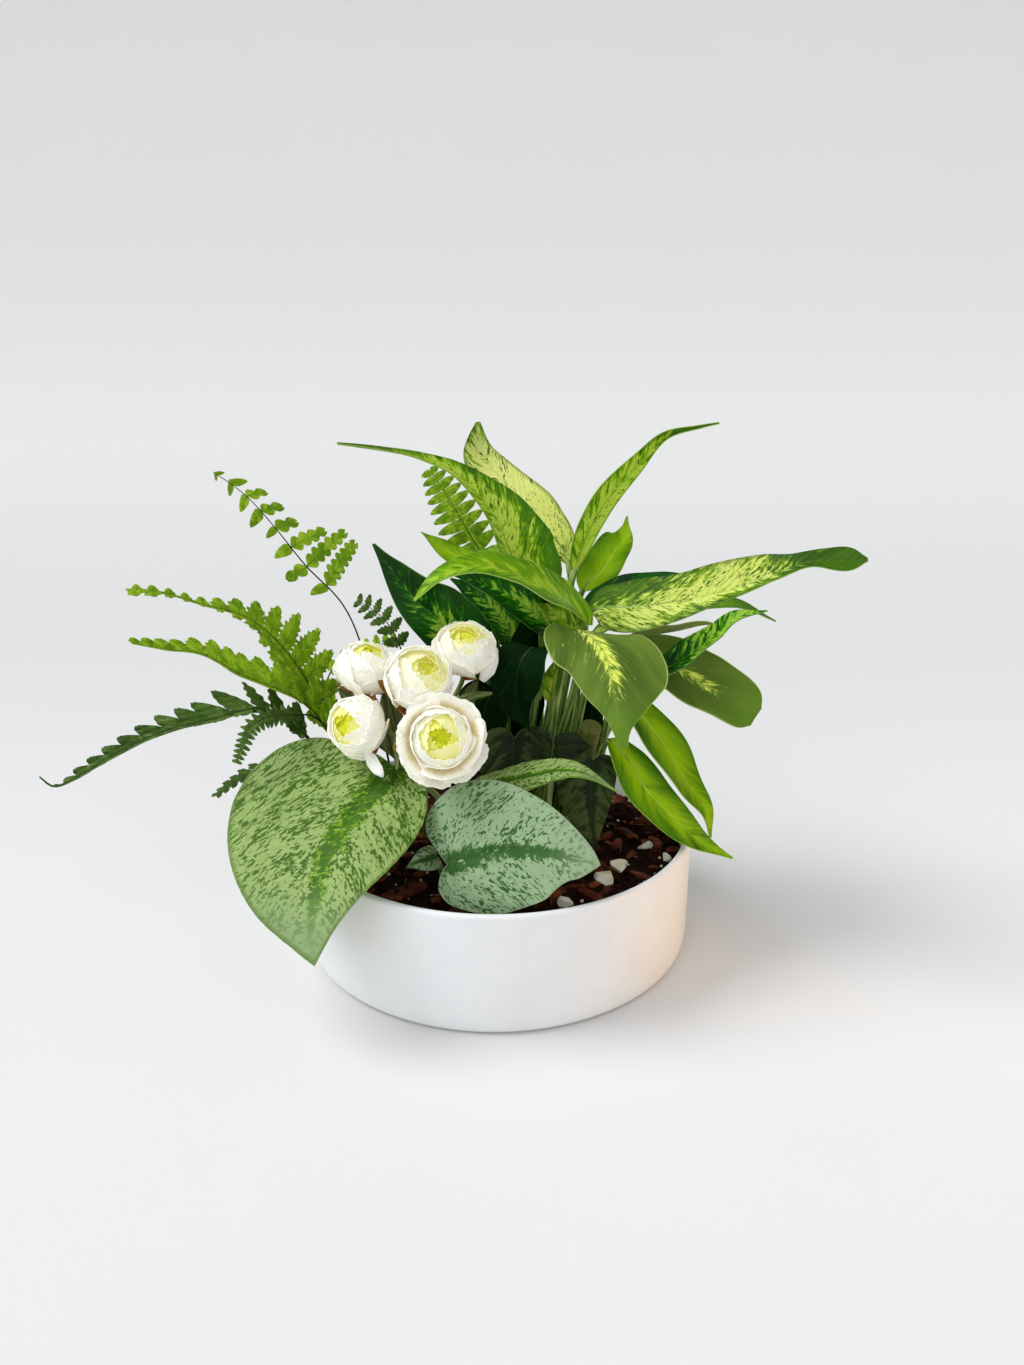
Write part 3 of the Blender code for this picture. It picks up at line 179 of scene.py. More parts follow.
@dataclass(frozen=True)
class LeafFinish:
    """A living leaf: a waxy cuticle over green tissue, with pale patches where the tissue holds less green.

    It reads the attributes place (across and along, as shares), vein (across in mm, and how far along the midrib
    the side vein there starts, in mm) and cover (the share of the face that the patches take). The cuticle gives a
    broad soft sheen, and the side veins a fine quilting. Patches and flecks are given by their real size in mm.
    """

    name: str
    slot: Slot
    deep: str
    green: str
    halo: str
    patch: str
    pale: str
    fleck: str
    under: str
    rim: str
    rib: str
    roughness: float = 0.4
    patch_mm: float = 8.0
    stretch: float = 0.34
    fleck_mm: float = 3.2
    fleck_share: float = 0.3
    edge: float = 0.12
    halo_width: float = 0.3
    vein_mm: float = 5.0
    margin: float = 0.0
    hem: float = 0.0
    rib_mm: float = 0.7
    sheen: float = 0.0
    tip: str = "#6f9020"
    tip_share: float = 0.0
    halo_mm: float = 60.0
    gloss: float = 0.14
    quilting: float = 0.7

    def skins(self) -> list[Skin]:
        """The face, the underside and the edge of the leaf."""
        return [self.face(), self.underside(), self.edge_skin()]

    def pattern(self, tree: Tree) -> dict[str, Node | Socket]:
        """Adds what face and underside share: where the patches are, and the ridges between the side veins.

        Args:
            tree: The material's node tree.

        Returns:
            Outputs named vein, across, level, hard, broad and ridge.
        """
        vein = add(tree, "Attribute", {"attribute_name": "vein"}).outputs["Vector"]
        cover = add(tree, "Attribute", {"attribute_name": "cover"}).outputs["Fac"]
        across, number, _ = add(tree, "SeparateXYZ", None, {0: vein}).outputs
        drawn = add(tree, "VectorMath", PRODUCT, {0: vein, 1: (self.stretch, 1, 1)})
        cloud = add(tree, "TexNoise", None, {"Vector": drawn, "Scale": 1 / self.patch_mm, "Detail": 5.0,
                                             "Roughness": 0.68, "Distortion": 0.45})
        even = add(tree, "MapRange", None, {0: cloud, 1: 0.3, 2: 0.7})
        level = add(tree, "Math", {"operation": "ADD"}, {0: even, 1: cover})
        hard = add(tree, "MapRange", SMOOTH, {0: level, 1: 1.0, 2: 1.0 + self.edge})
        broad = add(tree, "TexNoise", None, {"Vector": vein, "Scale": 0.04, "Detail": 2.0})
        ridge = add(tree, "Math", {"operation": "PINGPONG"}, {0: number, 1: self.vein_mm / 2})
        return {"vein": vein, "across": across, "level": level, "hard": hard, "broad": broad, "ridge": ridge}

    def face(self) -> Skin:
        """The upper side, with patches, dark dashes along the veins, midrib and quilting.

        Returns:
            Its material.
        """
        skin, tree, shader = new_skin(self.name, self.roughness, self.green)
        p = self.pattern(tree)
        place = add(tree, "Attribute", {"attribute_name": "place"}).outputs["Vector"]
        share, along, _ = add(tree, "SeparateXYZ", None, {0: place}).outputs
        across, side = (add(tree, "Math", UNSIGNED, {0: signed}) for signed in (p["across"], share))
        tone = add(tree, "MapRange", None, {0: p["broad"], 1: 0.35, 2: 0.65})
        soft = add(tree, "MapRange", SMOOTH, {0: p["level"], 1: 1.0 - self.halo_width, 2: 1.0})
        near = add(tree, "MapRange", None, {0: across, 1: 2.0, 2: self.halo_mm, 3: 1.0, 4: 0.15})
        glow = add(tree, "Math", PRODUCT, {0: near, 1: soft})
        light = add(tree, "Mix", RGBA, {0: p["broad"], 6: linear(self.patch), 7: linear(self.pale)})
        thin = add(tree, "VectorMath", PRODUCT, {0: p["vein"], 1: (self.stretch, 1, 3)})
        dash = add(tree, "TexNoise", None, {"Vector": thin, "Scale": 1 / self.fleck_mm, "Detail": 4.0,
                                            "Roughness": 0.62, "Distortion": 0.4})
        crowd = add(tree, "TexNoise", None, {"Vector": p["vein"], "Scale": 0.09, "Detail": 1.0})
        dense = add(tree, "Math", SCALED_SUM, {0: crowd, 1: 0.25, 2: dash})
        low = 0.845 - 0.36 * self.fleck_share
        dark = add(tree, "MapRange", SMOOTH, {0: dense, 1: low, 2: low + 0.025})
        line = add(tree, "MapRange", SMOOTH, {0: p["ridge"], 1: 0.0, 2: 0.55, 3: 1.0, 4: 0.0})
        faint = add(tree, "Math", PRODUCT, {0: line, 1: 0.14 * self.quilting})
        rib = add(tree, "MapRange", SMOOTH, {0: across, 1: self.rib_mm * 0.4, 2: self.rib_mm, 3: 1.0, 4: 0.0})
        fade = add(tree, "MapRange", None, {0: along, 1: 0.0, 2: 0.95, 3: 0.85, 4: 0.0})
        rib = add(tree, "Math", PRODUCT, {0: rib, 1: fade})
        band = add(tree, "MapRange", SMOOTH, {0: side, 1: 0.8, 2: 0.97, 3: 0.0, 4: self.margin})
        end = add(tree, "MapRange", SMOOTH, {0: along, 1: 0.62, 2: 0.98, 3: 0.0, 4: self.tip_share})
        hem = add(tree, "MapRange", SMOOTH, {0: side, 1: 0.965, 2: 0.99, 3: 0.0, 4: self.hem})
        colour = linear(self.deep)
        for mask, tint in ((tone, self.green), (glow, self.halo), (p["hard"], light), (dark, self.fleck),
                           (faint, self.halo), (rib, self.rib), (band, self.deep), (end, self.tip),
                           (hem, self.rim)):
            tint = linear(tint) if isinstance(tint, str) else tint
            colour = add(tree, "Mix", RGBA, {0: mask, 6: colour, 7: tint})
        worn = add(tree, "MapRange", None, {0: dash, 1: 0.3, 2: 0.7, 3: self.roughness - 0.06,
                                            4: self.roughness + 0.08})
        quilt = add(tree, "Math", SCALED_SUM, {0: dash, 1: 0.5, 2: p["ridge"]})
        bump = add(tree, "Bump", None, {"Strength": 0.4 * self.quilting, "Distance": 0.25 * MM, "Height": quilt})
        wire(tree, shader,
             {"Base Color": colour, "Roughness": worn, "Normal": bump, "Specular IOR Level": self.gloss,
              "Coat Weight": self.sheen, "Coat Roughness": COAT_ROUGHNESS})
        return skin

    def underside(self) -> Skin:
        """The lower side: paler, duller, with the patches showing through.

        Returns:
            Its material.
        """
        skin, tree, shader = new_skin(self.name + "_underside", self.roughness + 0.15, self.under)
        p = self.pattern(tree)
        seen = add(tree, "Math", PRODUCT, {0: p["hard"], 1: 0.4})
        colour = linear(self.under)
        for mask, tint in ((p["broad"], self.halo), (seen, self.patch)):
            colour = add(tree, "Mix", RGBA, {0: mask, 6: colour, 7: linear(tint)})
        bump = add(tree, "Bump", None, {"Strength": 0.4, "Distance": 0.3 * MM, "Height": p["ridge"]})
        wire(tree, shader, {"Base Color": colour, "Normal": bump, "Specular IOR Level": 0.15})
        return skin

    def edge_skin(self) -> Skin:
        """The cut edge of the blade: thin, dry and pale.

        Returns:
            Its material.
        """
        skin, tree, shader = new_skin(self.name + "_edge", 0.5, self.rim)
        grain = add(tree, "TexCoord").outputs["Object"]
        tone = add(tree, "TexNoise", None, {"Vector": grain, "Scale": 120.0})
        colour = add(tree, "Mix", RGBA, {0: tone, 6: linear(self.rim), 7: linear(self.halo)})
        wire(tree, shader, {"Base Color": colour})
        return skin


@dataclass(frozen=True)
class StalkFinish:
    """A fleshy leafstalk: smooth, wet-looking, with pale streaks along it where the sheath is thin."""

    name: str
    green: str
    streak: str
    roughness: float = 0.4

    def skin(self) -> Skin:
        """The leafstalk's material, streaked along its vein attribute.

        Returns:
            The material.
        """
        skin, tree, shader = new_skin(self.name, self.roughness, self.green)
        vein = add(tree, "Attribute", {"attribute_name": "vein"}).outputs["Vector"]
        drawn = add(tree, "VectorMath", PRODUCT, {0: vein, 1: (1.0, 0.06, 1)})
        grain = add(tree, "TexNoise", None, {"Vector": drawn, "Scale": 0.7, "Detail": 3.0})
        share = add(tree, "MapRange", SMOOTH, {0: grain, 1: 0.42, 2: 0.62})
        colour = add(tree, "Mix", RGBA, {0: share, 6: linear(self.green), 7: linear(self.streak)})
        bump = add(tree, "Bump", None, {"Strength": 0.3, "Distance": 0.2 * MM, "Height": grain})
        wire(tree, shader, {"Base Color": colour, "Normal": bump, "Specular IOR Level": 0.25})
        return skin


@dataclass(frozen=True)
class SilkFinish:
    """Silk cloth petals: thin woven cloth pressed to shape, matt, with fine pleats that run from foot to rim.

    The place attribute holds across and along as shares, and how far in the petal sits. Cover is how much beige
    painted shade shows there, in the recesses at the petals' feet and inside the open petals. The pleats' creases
    get a painted grey-beige shade too. The light that the thin cloth lets through keeps its shadows soft and warm,
    and a weak glow in the petals' own colour is painted on as emission to lighten them.
    """

    name: str = "silk_petal"
    white: str = "#fdfdf2"
    shade: str = "#d3c59b"
    lemon: str = "#f6f290"
    lime: str = "#e0e42c"
    heart: str = "#c8d41c"

    def skin(self) -> Skin:
        """The petals' material: white outside, lemon inside and lime green at the heart.

        Returns:
            The material.
        """
        skin, tree, shader = new_skin(self.name, 0.8, self.white)
        petal = add(tree, "Attribute", {"attribute_name": "place"}).outputs["Vector"]
        cover = add(tree, "Attribute", {"attribute_name": "cover"}).outputs["Fac"]
        inward = add(tree, "SeparateXYZ", None, {0: petal}).outputs[2]
        drawn = add(tree, "VectorMath", PRODUCT, {0: petal, 1: (9.0, 0.7, 40.0)})
        pleat = add(tree, "TexNoise", None, {"Vector": drawn, "Scale": 1.8, "Detail": 3.0, "Roughness": 0.55})
        blot = add(tree, "TexNoise", None, {"Vector": petal, "Scale": 2.2, "Detail": 2.0})
        uneven = add(tree, "MapRange", None, {0: blot, 1: 0.3, 2: 0.7, 3: 0.75, 4: 1.15})
        # Painted shade: beige where the cover attribute says, and grey-beige in the creases of the pleats.
        painted_shade = add(tree, "Math", {**PRODUCT, "use_clamp": True}, {0: cover, 1: uneven})
        crease_shade = add(tree, "MapRange", SMOOTH, {0: pleat, 1: 0.56, 2: 0.42, 3: 0.0, 4: 0.2})
        painted_shade = add(tree, "Math", {"operation": "MAXIMUM"}, {0: painted_shade, 1: crease_shade})
        colour = add(tree, "Mix", RGBA, {0: painted_shade, 6: linear(self.white), 7: linear(self.shade)})
        for tint, low, high in ((self.lemon, 0.08, 0.5), (self.lime, 0.5, 0.8), (self.heart, 0.85, 1.05)):
            share = add(tree, "MapRange", SMOOTH, {0: inward, 1: low, 2: high})
            colour = add(tree, "Mix", RGBA, {0: share, 6: colour, 7: linear(tint)})
        bump = add(tree, "Bump", None, {"Strength": 0.9, "Distance": 0.8 * MM, "Height": pleat})
        # The emission is a painted glow in the petals' own colour, which lightens them though they are no lamp.
        wire(tree, shader,
             {"Base Color": colour, "Normal": bump, "Specular IOR Level": 0.2, "Subsurface Weight": 0.5,
              "Subsurface Radius": (1.0, 0.95, 0.75), "Subsurface Scale": 2.0 * MM, "Emission Color": colour,
              "Emission Strength": 0.13})
        return skin


@dataclass(frozen=True)
class GrainFinish:
    """A solid with a mottled grain in two or three colours, such as glaze, soil, bark or stone.

    By_cover lays the third colour where the cover attribute says, rather than in broad spots.
    """

    name: str
    first: str
    second: str
    third: str
    grain_mm: float
    roughness: float
    bump_mm: float = 0.0
    stretch: Spot = (1.0, 1.0, 1.0)
    coat: float = 0.0
    gloss: float = 0.5
    by_cover: bool = False

    def skin(self) -> Skin:
        """The material, with its grain on the object's own coordinates.

        Returns:
            The material.
        """
        skin, tree, shader = new_skin(self.name, self.roughness, self.first)
        place = add(tree, "TexCoord").outputs["Object"]
        turned = add(tree, "Mapping", None, {"Vector": place, "Scale": self.stretch})
        scale = 1 / (self.grain_mm * MM)
        grain = add(tree, "TexNoise", None, {"Vector": turned, "Scale": scale, "Detail": 5.0, "Roughness": 0.6})
        mottled = add(tree, "MapRange", SMOOTH, {0: grain, 1: 0.35, 2: 0.68})
        if self.by_cover:
            where = add(tree, "Attribute", {"attribute_name": "cover"}).outputs["Fac"]
        else:
            broad = add(tree, "TexNoise", None, {"Vector": turned, "Scale": scale / 6, "Detail": 2.0})
            where = add(tree, "MapRange", SMOOTH, {0: broad, 1: 0.5, 2: 0.72})
        colour = linear(self.first)
        for share, tint in ((mottled, self.second), (where, self.third)):
            colour = add(tree, "Mix", RGBA, {0: share, 6: colour, 7: linear(tint)})
        worn = add(tree, "MapRange", None, {0: grain, 1: 0.2, 2: 0.8, 3: self.roughness * 0.9,
                                            4: min(1.0, self.roughness * 1.12)})
        wire(tree, shader, {"Base Color": colour, "Roughness": worn, "Specular IOR Level": self.gloss,
                            "Coat Weight": self.coat, "Coat Roughness": GLAZE_COAT_ROUGHNESS})
        if self.bump_mm:
            bump = add(tree, "Bump", None, {"Strength": 0.6, "Distance": self.bump_mm * MM, "Height": grain})
            wire(tree, shader, {"Normal": bump})
        return skin


# Shapes in numbers: the same formulas as the solids


BOWL_RADIUS = 101.5
BOWL_WALL = 3.6
SOIL_EDGE_Z = 44.0
SOIL_MOUND = 5.0
SOIL_LUMP = 1.2
ROOT_DEPTH = 12.0
# A dumb cane blade's half width at these shares of its length, as shares of the widest.
WIDTH_STATIONS = (0, 0.08, 0.2, 0.35, 0.5, 0.65, 0.8, 0.92, 1.0)
OVATE = (0.12, 0.55, 0.86, 1.0, 0.95, 0.76, 0.46, 0.17, 0.04)
BLUNT = (0.12, 0.5, 0.8, 0.97, 1.0, 0.97, 0.9, 0.74, 0.35)
# Half outlines of pothos leaves from tip to sinus, as shares of the length or the lobe, and of the half width.
HEART_HALF = ((1.0, 0), (0.92, 0.1), (0.78, 0.34), (0.56, 0.7), (0.3, 0.94), (0.04, 1.0), (-0.5, 0.88),
              (-0.95, 0.56), (-0.85, 0.22))
SLIM_HALF = ((1.0, 0), (0.93, 0.15), (0.84, 0.33), (0.67, 0.67), (0.54, 0.89), (0.36, 1.0), (0.2, 0.95),
             (0.08, 0.78), (-0.3, 0.5), (-0.6, 0.25))
FULL_HALF = ((1.0, 0), (0.955, 0.12), (0.84, 0.4), (0.66, 0.655), (0.4, 0.875), (0.22, 0.975), (0.03, 1.0),
             (-0.6, 0.93), (-0.92, 0.81), (-1.0, 0.66), (-0.8, 0.44), (-0.5, 0.2))
UPPER_HALF = ((1.0, 0), (0.97, 0.11), (0.92, 0.22), (0.8, 0.4), (0.69, 0.54), (0.57, 0.66), (0.41, 0.8),
              (0.21, 0.92), (0.02, 0.97), (-0.55, 0.88), (-1.0, 0.7), (-1.03, 0.48), (-0.5, 0.18))
LOWER_HALF = ((1.0, 0), (0.87, 0.3), (0.79, 0.41), (0.72, 0.57), (0.65, 0.76), (0.51, 0.92), (0.38, 1.0),
              (0.24, 0.97), (0.08, 0.8), (-0.1, 0.67), (-0.55, 0.52), (-0.75, 0.35), (-0.6, 0.15))
SINUS_DEPTH = 1.5
STEM_LEAD = 6.0
TOWARDS_VIEWER = (0.3, -1.0, 0.2)
# How far the pattern moves from one leaf or frond to the next, so that no two look alike.
PATTERN_STEP = 37.0
FERN_PATTERN_STEP = 50
FERN_COVER = 0.18
SEAM_MM = 0.002


def unit(vectors: Array) -> Array:
    """The vectors, or the one vector, at length 1."""
    vectors = np.asarray(vectors, float)
    return vectors / np.linalg.norm(vectors, axis=-1, keepdims=True)


def soil_height(x: Array | float, y: Array | float) -> Array | float:
    """Height of the potting mix's surface: the mound and its lumps.

    Args:
        x: Where, to the right, in mm.
        y: Where, to the back.

    Returns:
        The height in mm.
    """
    reach = np.minimum(1.0, np.hypot(x, y) / BOWL_RADIUS)
    lumps = np.sin(x * 0.19 + 1.3) * np.cos(y * 0.17 - 0.4) + 0.6 * np.sin(x * 0.31 - y * 0.27)
    return SOIL_EDGE_Z + SOIL_MOUND * (1 - reach * reach) + SOIL_LUMP * lumps


class Line:
    """A smooth line through points, with its pace set by their spacing so that it never overshoots."""

    def __init__(self, points: Sequence[Sequence[float]], dense: int = 20) -> None:
        """Steps finely through the points.

        Args:
            points: The points, in mm.
            dense: Steps between two points.
        """
        p = np.array(points, float)
        p = np.vstack([2 * p[0] - p[1], p, 2 * p[-1] - p[-2]])
        knots = np.concatenate([[0], np.cumsum(np.linalg.norm(np.diff(p, axis=0), axis=1) ** 0.5)])
        s = np.linspace(0, 1, dense, endpoint=False)[:, None]
        s2, s3 = s**2, s**3
        parts = []
        for i in range(1, len(p) - 2):
            a, b, c = knots[i] - knots[i - 1], knots[i + 1] - knots[i], knots[i + 2] - knots[i + 1]
            start = ((p[i] - p[i - 1]) / a - (p[i + 1] - p[i - 1]) / (a + b) + (p[i + 1] - p[i]) / b) * b
            end = ((p[i + 1] - p[i]) / b - (p[i + 2] - p[i]) / (b + c) + (p[i + 2] - p[i + 1]) / c) * b
            parts.append((2 * s3 - 3 * s2 + 1) * p[i] + (s3 - 2 * s2 + s) * start
                         + (3 * s2 - 2 * s3) * p[i + 1] + (s3 - s2) * end)
        self.path = np.vstack(parts + [p[-2:-1]])
        self.run = np.concatenate([[0], np.cumsum(np.linalg.norm(np.diff(self.path, axis=0), axis=1))])
        self.slopes = np.gradient(self.path, axis=0)
        self.length = float(self.run[-1])

    def at(self, distances: Array) -> tuple[Array, Array]:
        """Reads the line.

        Args:
            distances: How far from its start.

        Returns:
            The points there, and the line's unit directions.
        """
        points = np.stack([np.interp(distances, self.run, self.path[:, k]) for k in range(3)], axis=-1)
        ways = np.stack([np.interp(distances, self.run, self.slopes[:, k]) for k in range(3)], axis=-1)
        return points, unit(ways)

    def near(self, point: Sequence[float]) -> float:
        """The distance from the start at which the line passes this point."""
        return float(self.run[np.argmin(np.linalg.norm(self.path - np.array(point, float), axis=1))])


def spread(values: Sequence[Sequence[float]], shares: Array) -> Array:
    """Reads a table whose rows stand at even distances.

    Args:
        values: The rows.
        shares: Where they are read, as shares of the whole.

    Returns:
        A row for each share.
    """
    table = np.array(values, float)
    even = np.linspace(0, 1, len(table)) if len(table) > 1 else np.zeros(1)
    return np.stack([np.interp(shares, even, table[:, k]) for k in range(table.shape[1])], axis=-1)


def width_at(widths: Sequence[float], shares: Array) -> Array:
    """A width given at WIDTH_STATIONS, read on a smooth curve."""
    curve = Line([(s, w, 0) for s, w in zip(WIDTH_STATIONS, widths)], 8).path
    return np.interp(shares, curve[:, 0], curve[:, 1])


def squared(facing: Sequence | Array, ways: Array) -> tuple[Array, Array]:
    """Squares the face's directions up to a line's.

    Args:
        facing: The way that the face looks, one for all or one for each of the ways.
        ways: The line's directions.

    Returns:
        The face's directions, and the directions to its right.
    """
    facing = np.broadcast_to(np.asarray(facing, float), ways.shape)
    faces = unit(facing - np.sum(facing * ways, axis=-1, keepdims=True) * ways)
    return faces, np.cross(ways, faces)


def smoothstep(low: float, high: float, values: Array) -> Array:
    """0 below low, 1 above high, and a soft rise between."""
    t = np.clip((values - low) / (high - low), 0, 1)
    return t * t * (3 - 2 * t)


def stem_start(root: Pair) -> list[Spot]:
    """The straight foot of a stem, in the mix and just above it.

    Args:
        root: Where it roots, seen from above.

    Returns:
        Its points.
    """
    x, y = root
    top = float(soil_height(x, y))
    return [(x, y, top - ROOT_DEPTH), (x, y, top), (x, y, top + STEM_LEAD)]


# Meshes


def pick(*objects: Piece) -> None:
    """Selects these objects alone, because an operator acts on all that is selected."""
    bpy.ops.object.select_all(action="DESELECT")
    for obj in objects:
        obj.select_set(True)
    if objects:
        bpy.context.view_layer.objects.active = objects[0]


def read_points(obj: Piece) -> Array:
    """The mesh's points, in the units of the object."""
    spots = np.zeros(len(obj.data.vertices) * 3)
    obj.data.vertices.foreach_get("co", spots)
    return spots.reshape(-1, 3)


def place_points(obj: Piece, spots: Array) -> None:
    """Moves the mesh's points to these, in mm."""
    obj.data.vertices.foreach_set("co", (np.asarray(spots, float) * MM).ravel())
    obj.data.update()


def mark(obj: Piece, name: str, values: Array) -> None:
    """Keeps a number or a vector for each point, which the materials read.

    Args:
        obj: The object.
        name: The attribute's name.
        values: One number or three for each point.
    """
    kind, key = ("FLOAT", "value") if values.ndim == 1 else ("FLOAT_VECTOR", "vector")
    made = obj.data.attributes.new(name, kind, "POINT")
    made.data.foreach_set(key, np.ascontiguousarray(values, np.float32).ravel())


def mark_pattern(obj: Piece, place: Sequence, vein: Sequence, cover: Array | float = 0.0) -> None:
    """Keeps what the leaf, stalk and silk finishes read. Each value is one for all points, or one for each.

    Args:
        obj: The object.
        place: Across and along as shares, and a third number.
        vein: Across and along in mm, and a third number.
        cover: The share of the face that the pattern takes; for silk, the share of painted shade.
    """
    count = len(obj.data.vertices)
    for name, parts in (("place", place), ("vein", vein)):
        mark(obj, name, np.stack([np.broadcast_to(part, count) for part in parts], axis=1))
    mark(obj, "cover", np.broadcast_to(cover, count))


def add_grid(name: str, columns: int, rows: int) -> tuple[Piece, Array, Array]:
    """Adds a flat grid, to be shaped.

    Args:
        name: The object's name.
        columns: Faces across.
        rows: Faces along.

    Returns:
        The object, and each point's place across from -1 to 1 and along from 0 to 1.
    """
    pick()
    bpy.ops.mesh.primitive_grid_add(x_subdivisions=columns, y_subdivisions=rows, size=2)
    made = bpy.context.object
    made.name = made.data.name = name
    spots = read_points(made)
    return made, spots[:, 0], (spots[:, 1] + 1) / 2


def weld(obj: Piece, fill: bool = False) -> None:
    """Closes the seam of a wrapped grid.

    Args:
        obj: The wrapped grid.
        fill: Whether its open ends are closed too.
    """
    pick(obj)
    bpy.ops.object.mode_set(mode="EDIT")
    bpy.ops.mesh.select_all(action="SELECT")
    bpy.ops.mesh.remove_doubles(threshold=SEAM_MM * MM)
    if fill:
        bpy.ops.mesh.select_all(action="DESELECT")
        bpy.ops.mesh.select_non_manifold()
        bpy.ops.mesh.fill_holes(sides=0)
    bpy.ops.object.mode_set(mode="OBJECT")


def thicken(obj: Piece, thick: float, skins: Sequence[Skin]) -> Piece:
    """Gives a sheet its thickness, its face, its underside and its edge.

    Args:
        obj: The sheet.
        thick: Thickness in mm.
        skins: Materials of the face, the underside and the edge, or one for all.

    Returns:
        The same object.
    """
    for skin in skins:
        obj.data.materials.append(skin)
    pick(obj)
    step = obj.modifiers.new("thickness", "SOLIDIFY")
    step.thickness = thick * MM
    step.offset = 0
    step.use_quality_normals = True
    if len(skins) > 1:
        step.material_offset = 1
        step.material_offset_rim = 2
    bpy.ops.object.modifier_apply(modifier=step.name)
    return obj


def add_tube(name: str, line: Line, stops: Array, radii: Array, skin: Skin, facing: Sequence | Array,
             drop: Array | float = 0.0, around: int = 12) -> Piece:
    """A round stem: a grid wrapped round a line, closed at the ends.

    Args:
        name: The object's name.
        line: The line that it follows.
        stops: Distances along the line.
        radii: The radius at each stop, in mm.
        skin: Its material.
        facing: The direction, or one for each stop, that drop is measured against.
        drop: How far below the line its middle runs, in mm.
        around: Faces round it.

    Returns:
        The stem.
    """
    stem, u, v = add_grid(name, around, len(stops) - 1)
    row = np.rint(v * (len(stops) - 1)).astype(int)
    centres, ways = line.at(stops)
    faces, sides = squared(facing, ways)
    centres = centres - faces * np.broadcast_to(drop, stops.shape)[:, None]
    aside, up = radii[row] * np.cos(-math.pi * u), radii[row] * np.sin(-math.pi * u)
    place_points(stem, centres[row] + sides[row] * aside[:, None] + faces[row] * up[:, None])
    mark_pattern(stem, (u, v, 0), (aside, stops[row], up))
    weld(stem, fill=True)
    stem.data.materials.append(skin)
    return stem


def join(parts: Sequence[Piece], name: str) -> Piece:
    """Makes one object of the parts.

    Args:
        parts: The objects.
        name: The name of what they make.

    Returns:
        The joined object.
    """
    pick(*parts)
    if len(parts) > 1:
        bpy.ops.object.join()
    made = bpy.context.view_layer.objects.active
    made.name = made.data.name = name
    return made


def settle(obj: Piece, nodes: Sequence[str] = (), angle: float = 60) -> None:
    """Ends a piece: smooth shading, its body, and the nodes that it stands for.

    Args:
        obj: The piece.
        nodes: The nodes that it stands for.
        angle: Faces that meet at less than this angle in degrees are shaded smoothly.
    """
    pick(obj)
    bpy.ops.object.shade_smooth_by_angle(angle=math.radians(angle))
    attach(obj, BODY)
    if nodes:
        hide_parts(*nodes)
    LOG.info("%s: %d faces", obj.name, len(obj.data.polygons))


# Bowl and potting mix


@dataclass
class Bowl:
    """The bowl: white stoneware under a satin glaze, thrown as a low straight cylinder with a rounded lip."""

    height: float = 62.0
    floor: float = 5.0
    steps: int = 144
    glaze: GrainFinish = GrainFinish("satin_white_glaze", "#e7e9e9", "#eaebeb", "#e5e4e1", grain_mm=9.0,
                                     roughness=0.3, bump_mm=0.02, coat=0.3)

    def profile(self) -> Array:
        """Points of the wall from the middle of the foot, over the lip, to the middle of the floor.

        Returns:
            Reach and height of each.
        """
        outer, inner, top = BOWL_RADIUS, BOWL_RADIUS - BOWL_WALL, self.height
        lip = [(outer - 0.15, top - 1.4), (outer - 0.5, top - 0.6), (outer - 1.1, top - 0.2),
               (outer - 1.8, top - 0.08), (outer - 2.5, top - 0.2), (inner + 0.5, top - 0.6),
               (inner + 0.15, top - 1.4)]
        foot = [(0, 0.35), (outer - 9, 0.35), (outer - 8, 0), (outer - 4.5, 0), (outer - 2.4, 0.5),
                (outer - 1.0, 1.8), (outer - 0.4, 3.6), (outer - 0.1, 8), (outer, 20), (outer, top - 2.6)]
        well = [(inner, top - 2.6), (inner, 14), (inner - 0.4, 9.5), (inner - 1.6, 7),
                (inner - 4.5, self.floor + 0.2), (0, self.floor)]
        return np.array(foot + lip + well)

    def build(self) -> None:
        """Spins the profile about the vertical."""
        points = self.profile()
        pick()
        bpy.ops.mesh.primitive_circle_add(vertices=len(points), radius=0.1)
        bowl = bpy.context.object
        bpy.ops.object.mode_set(mode="EDIT")
        bpy.ops.mesh.select_all(action="DESELECT")
        bpy.ops.object.mode_set(mode="OBJECT")
        place_points(bowl, np.stack([points[:, 0], np.zeros(len(points)), points[:, 1]], axis=1))
        ends = {0, len(points) - 1}
        for edge in bowl.data.edges:
            edge.select = set(edge.vertices) == ends
        bpy.ops.object.mode_set(mode="EDIT")
        bpy.ops.mesh.select_mode(type="EDGE")
        bpy.ops.mesh.delete(type="EDGE")
        bpy.ops.mesh.select_mode(type="VERT")
        bpy.ops.mesh.select_all(action="SELECT")
        bpy.ops.mesh.spin(steps=self.steps, angle=2 * math.pi, center=(0, 0, 0), axis=(0, 0, 1))
        bpy.ops.mesh.select_all(action="SELECT")
        bpy.ops.mesh.remove_doubles(threshold=0.01 * MM)
        bpy.ops.mesh.normals_make_consistent(inside=False)
        bpy.ops.object.mode_set(mode="OBJECT")
        bowl.data.materials.append(self.glaze.skin())
        bowl.name = bowl.data.name = "glazed_bowl"
        settle(bowl, ["bowl"], 40)


PEAT = GrainFinish("peat", "#100804", "#2a150b", "#3a1d10", grain_mm=1.6, roughness=0.95, bump_mm=0.9, gloss=0.06)
PINE_BARK = GrainFinish("pine_bark", "#32140a", "#6b3018", "#8c4b28", grain_mm=2.2, roughness=0.8, bump_mm=0.4,
                        gloss=0.15)
PERLITE = GrainFinish("perlite_white", "#d9d3c6", "#f0ece2", "#bdb09a", grain_mm=1.2, roughness=0.9, bump_mm=0.2)
STRAW = GrainFinish("dry_straw", "#6b4a2a", "#9a7444", "#4a3018", grain_mm=1.5, roughness=0.8, bump_mm=0.1)


@dataclass(frozen=True)
class Bits:
    """One kind of bit in the mix.

    Sizes are its smallest and largest half length in mm, and shape its length, width and thickness as shares of
    that. The ball that it starts from is divided levels times, rough is how uneven it is, and own a number for its
    own shape.
    """

    name: str
    finish: GrainFinish
    slot: Slot
    count: int
    sizes: Pair
    shape: Spot
    levels: int
    rough: float
    own: int


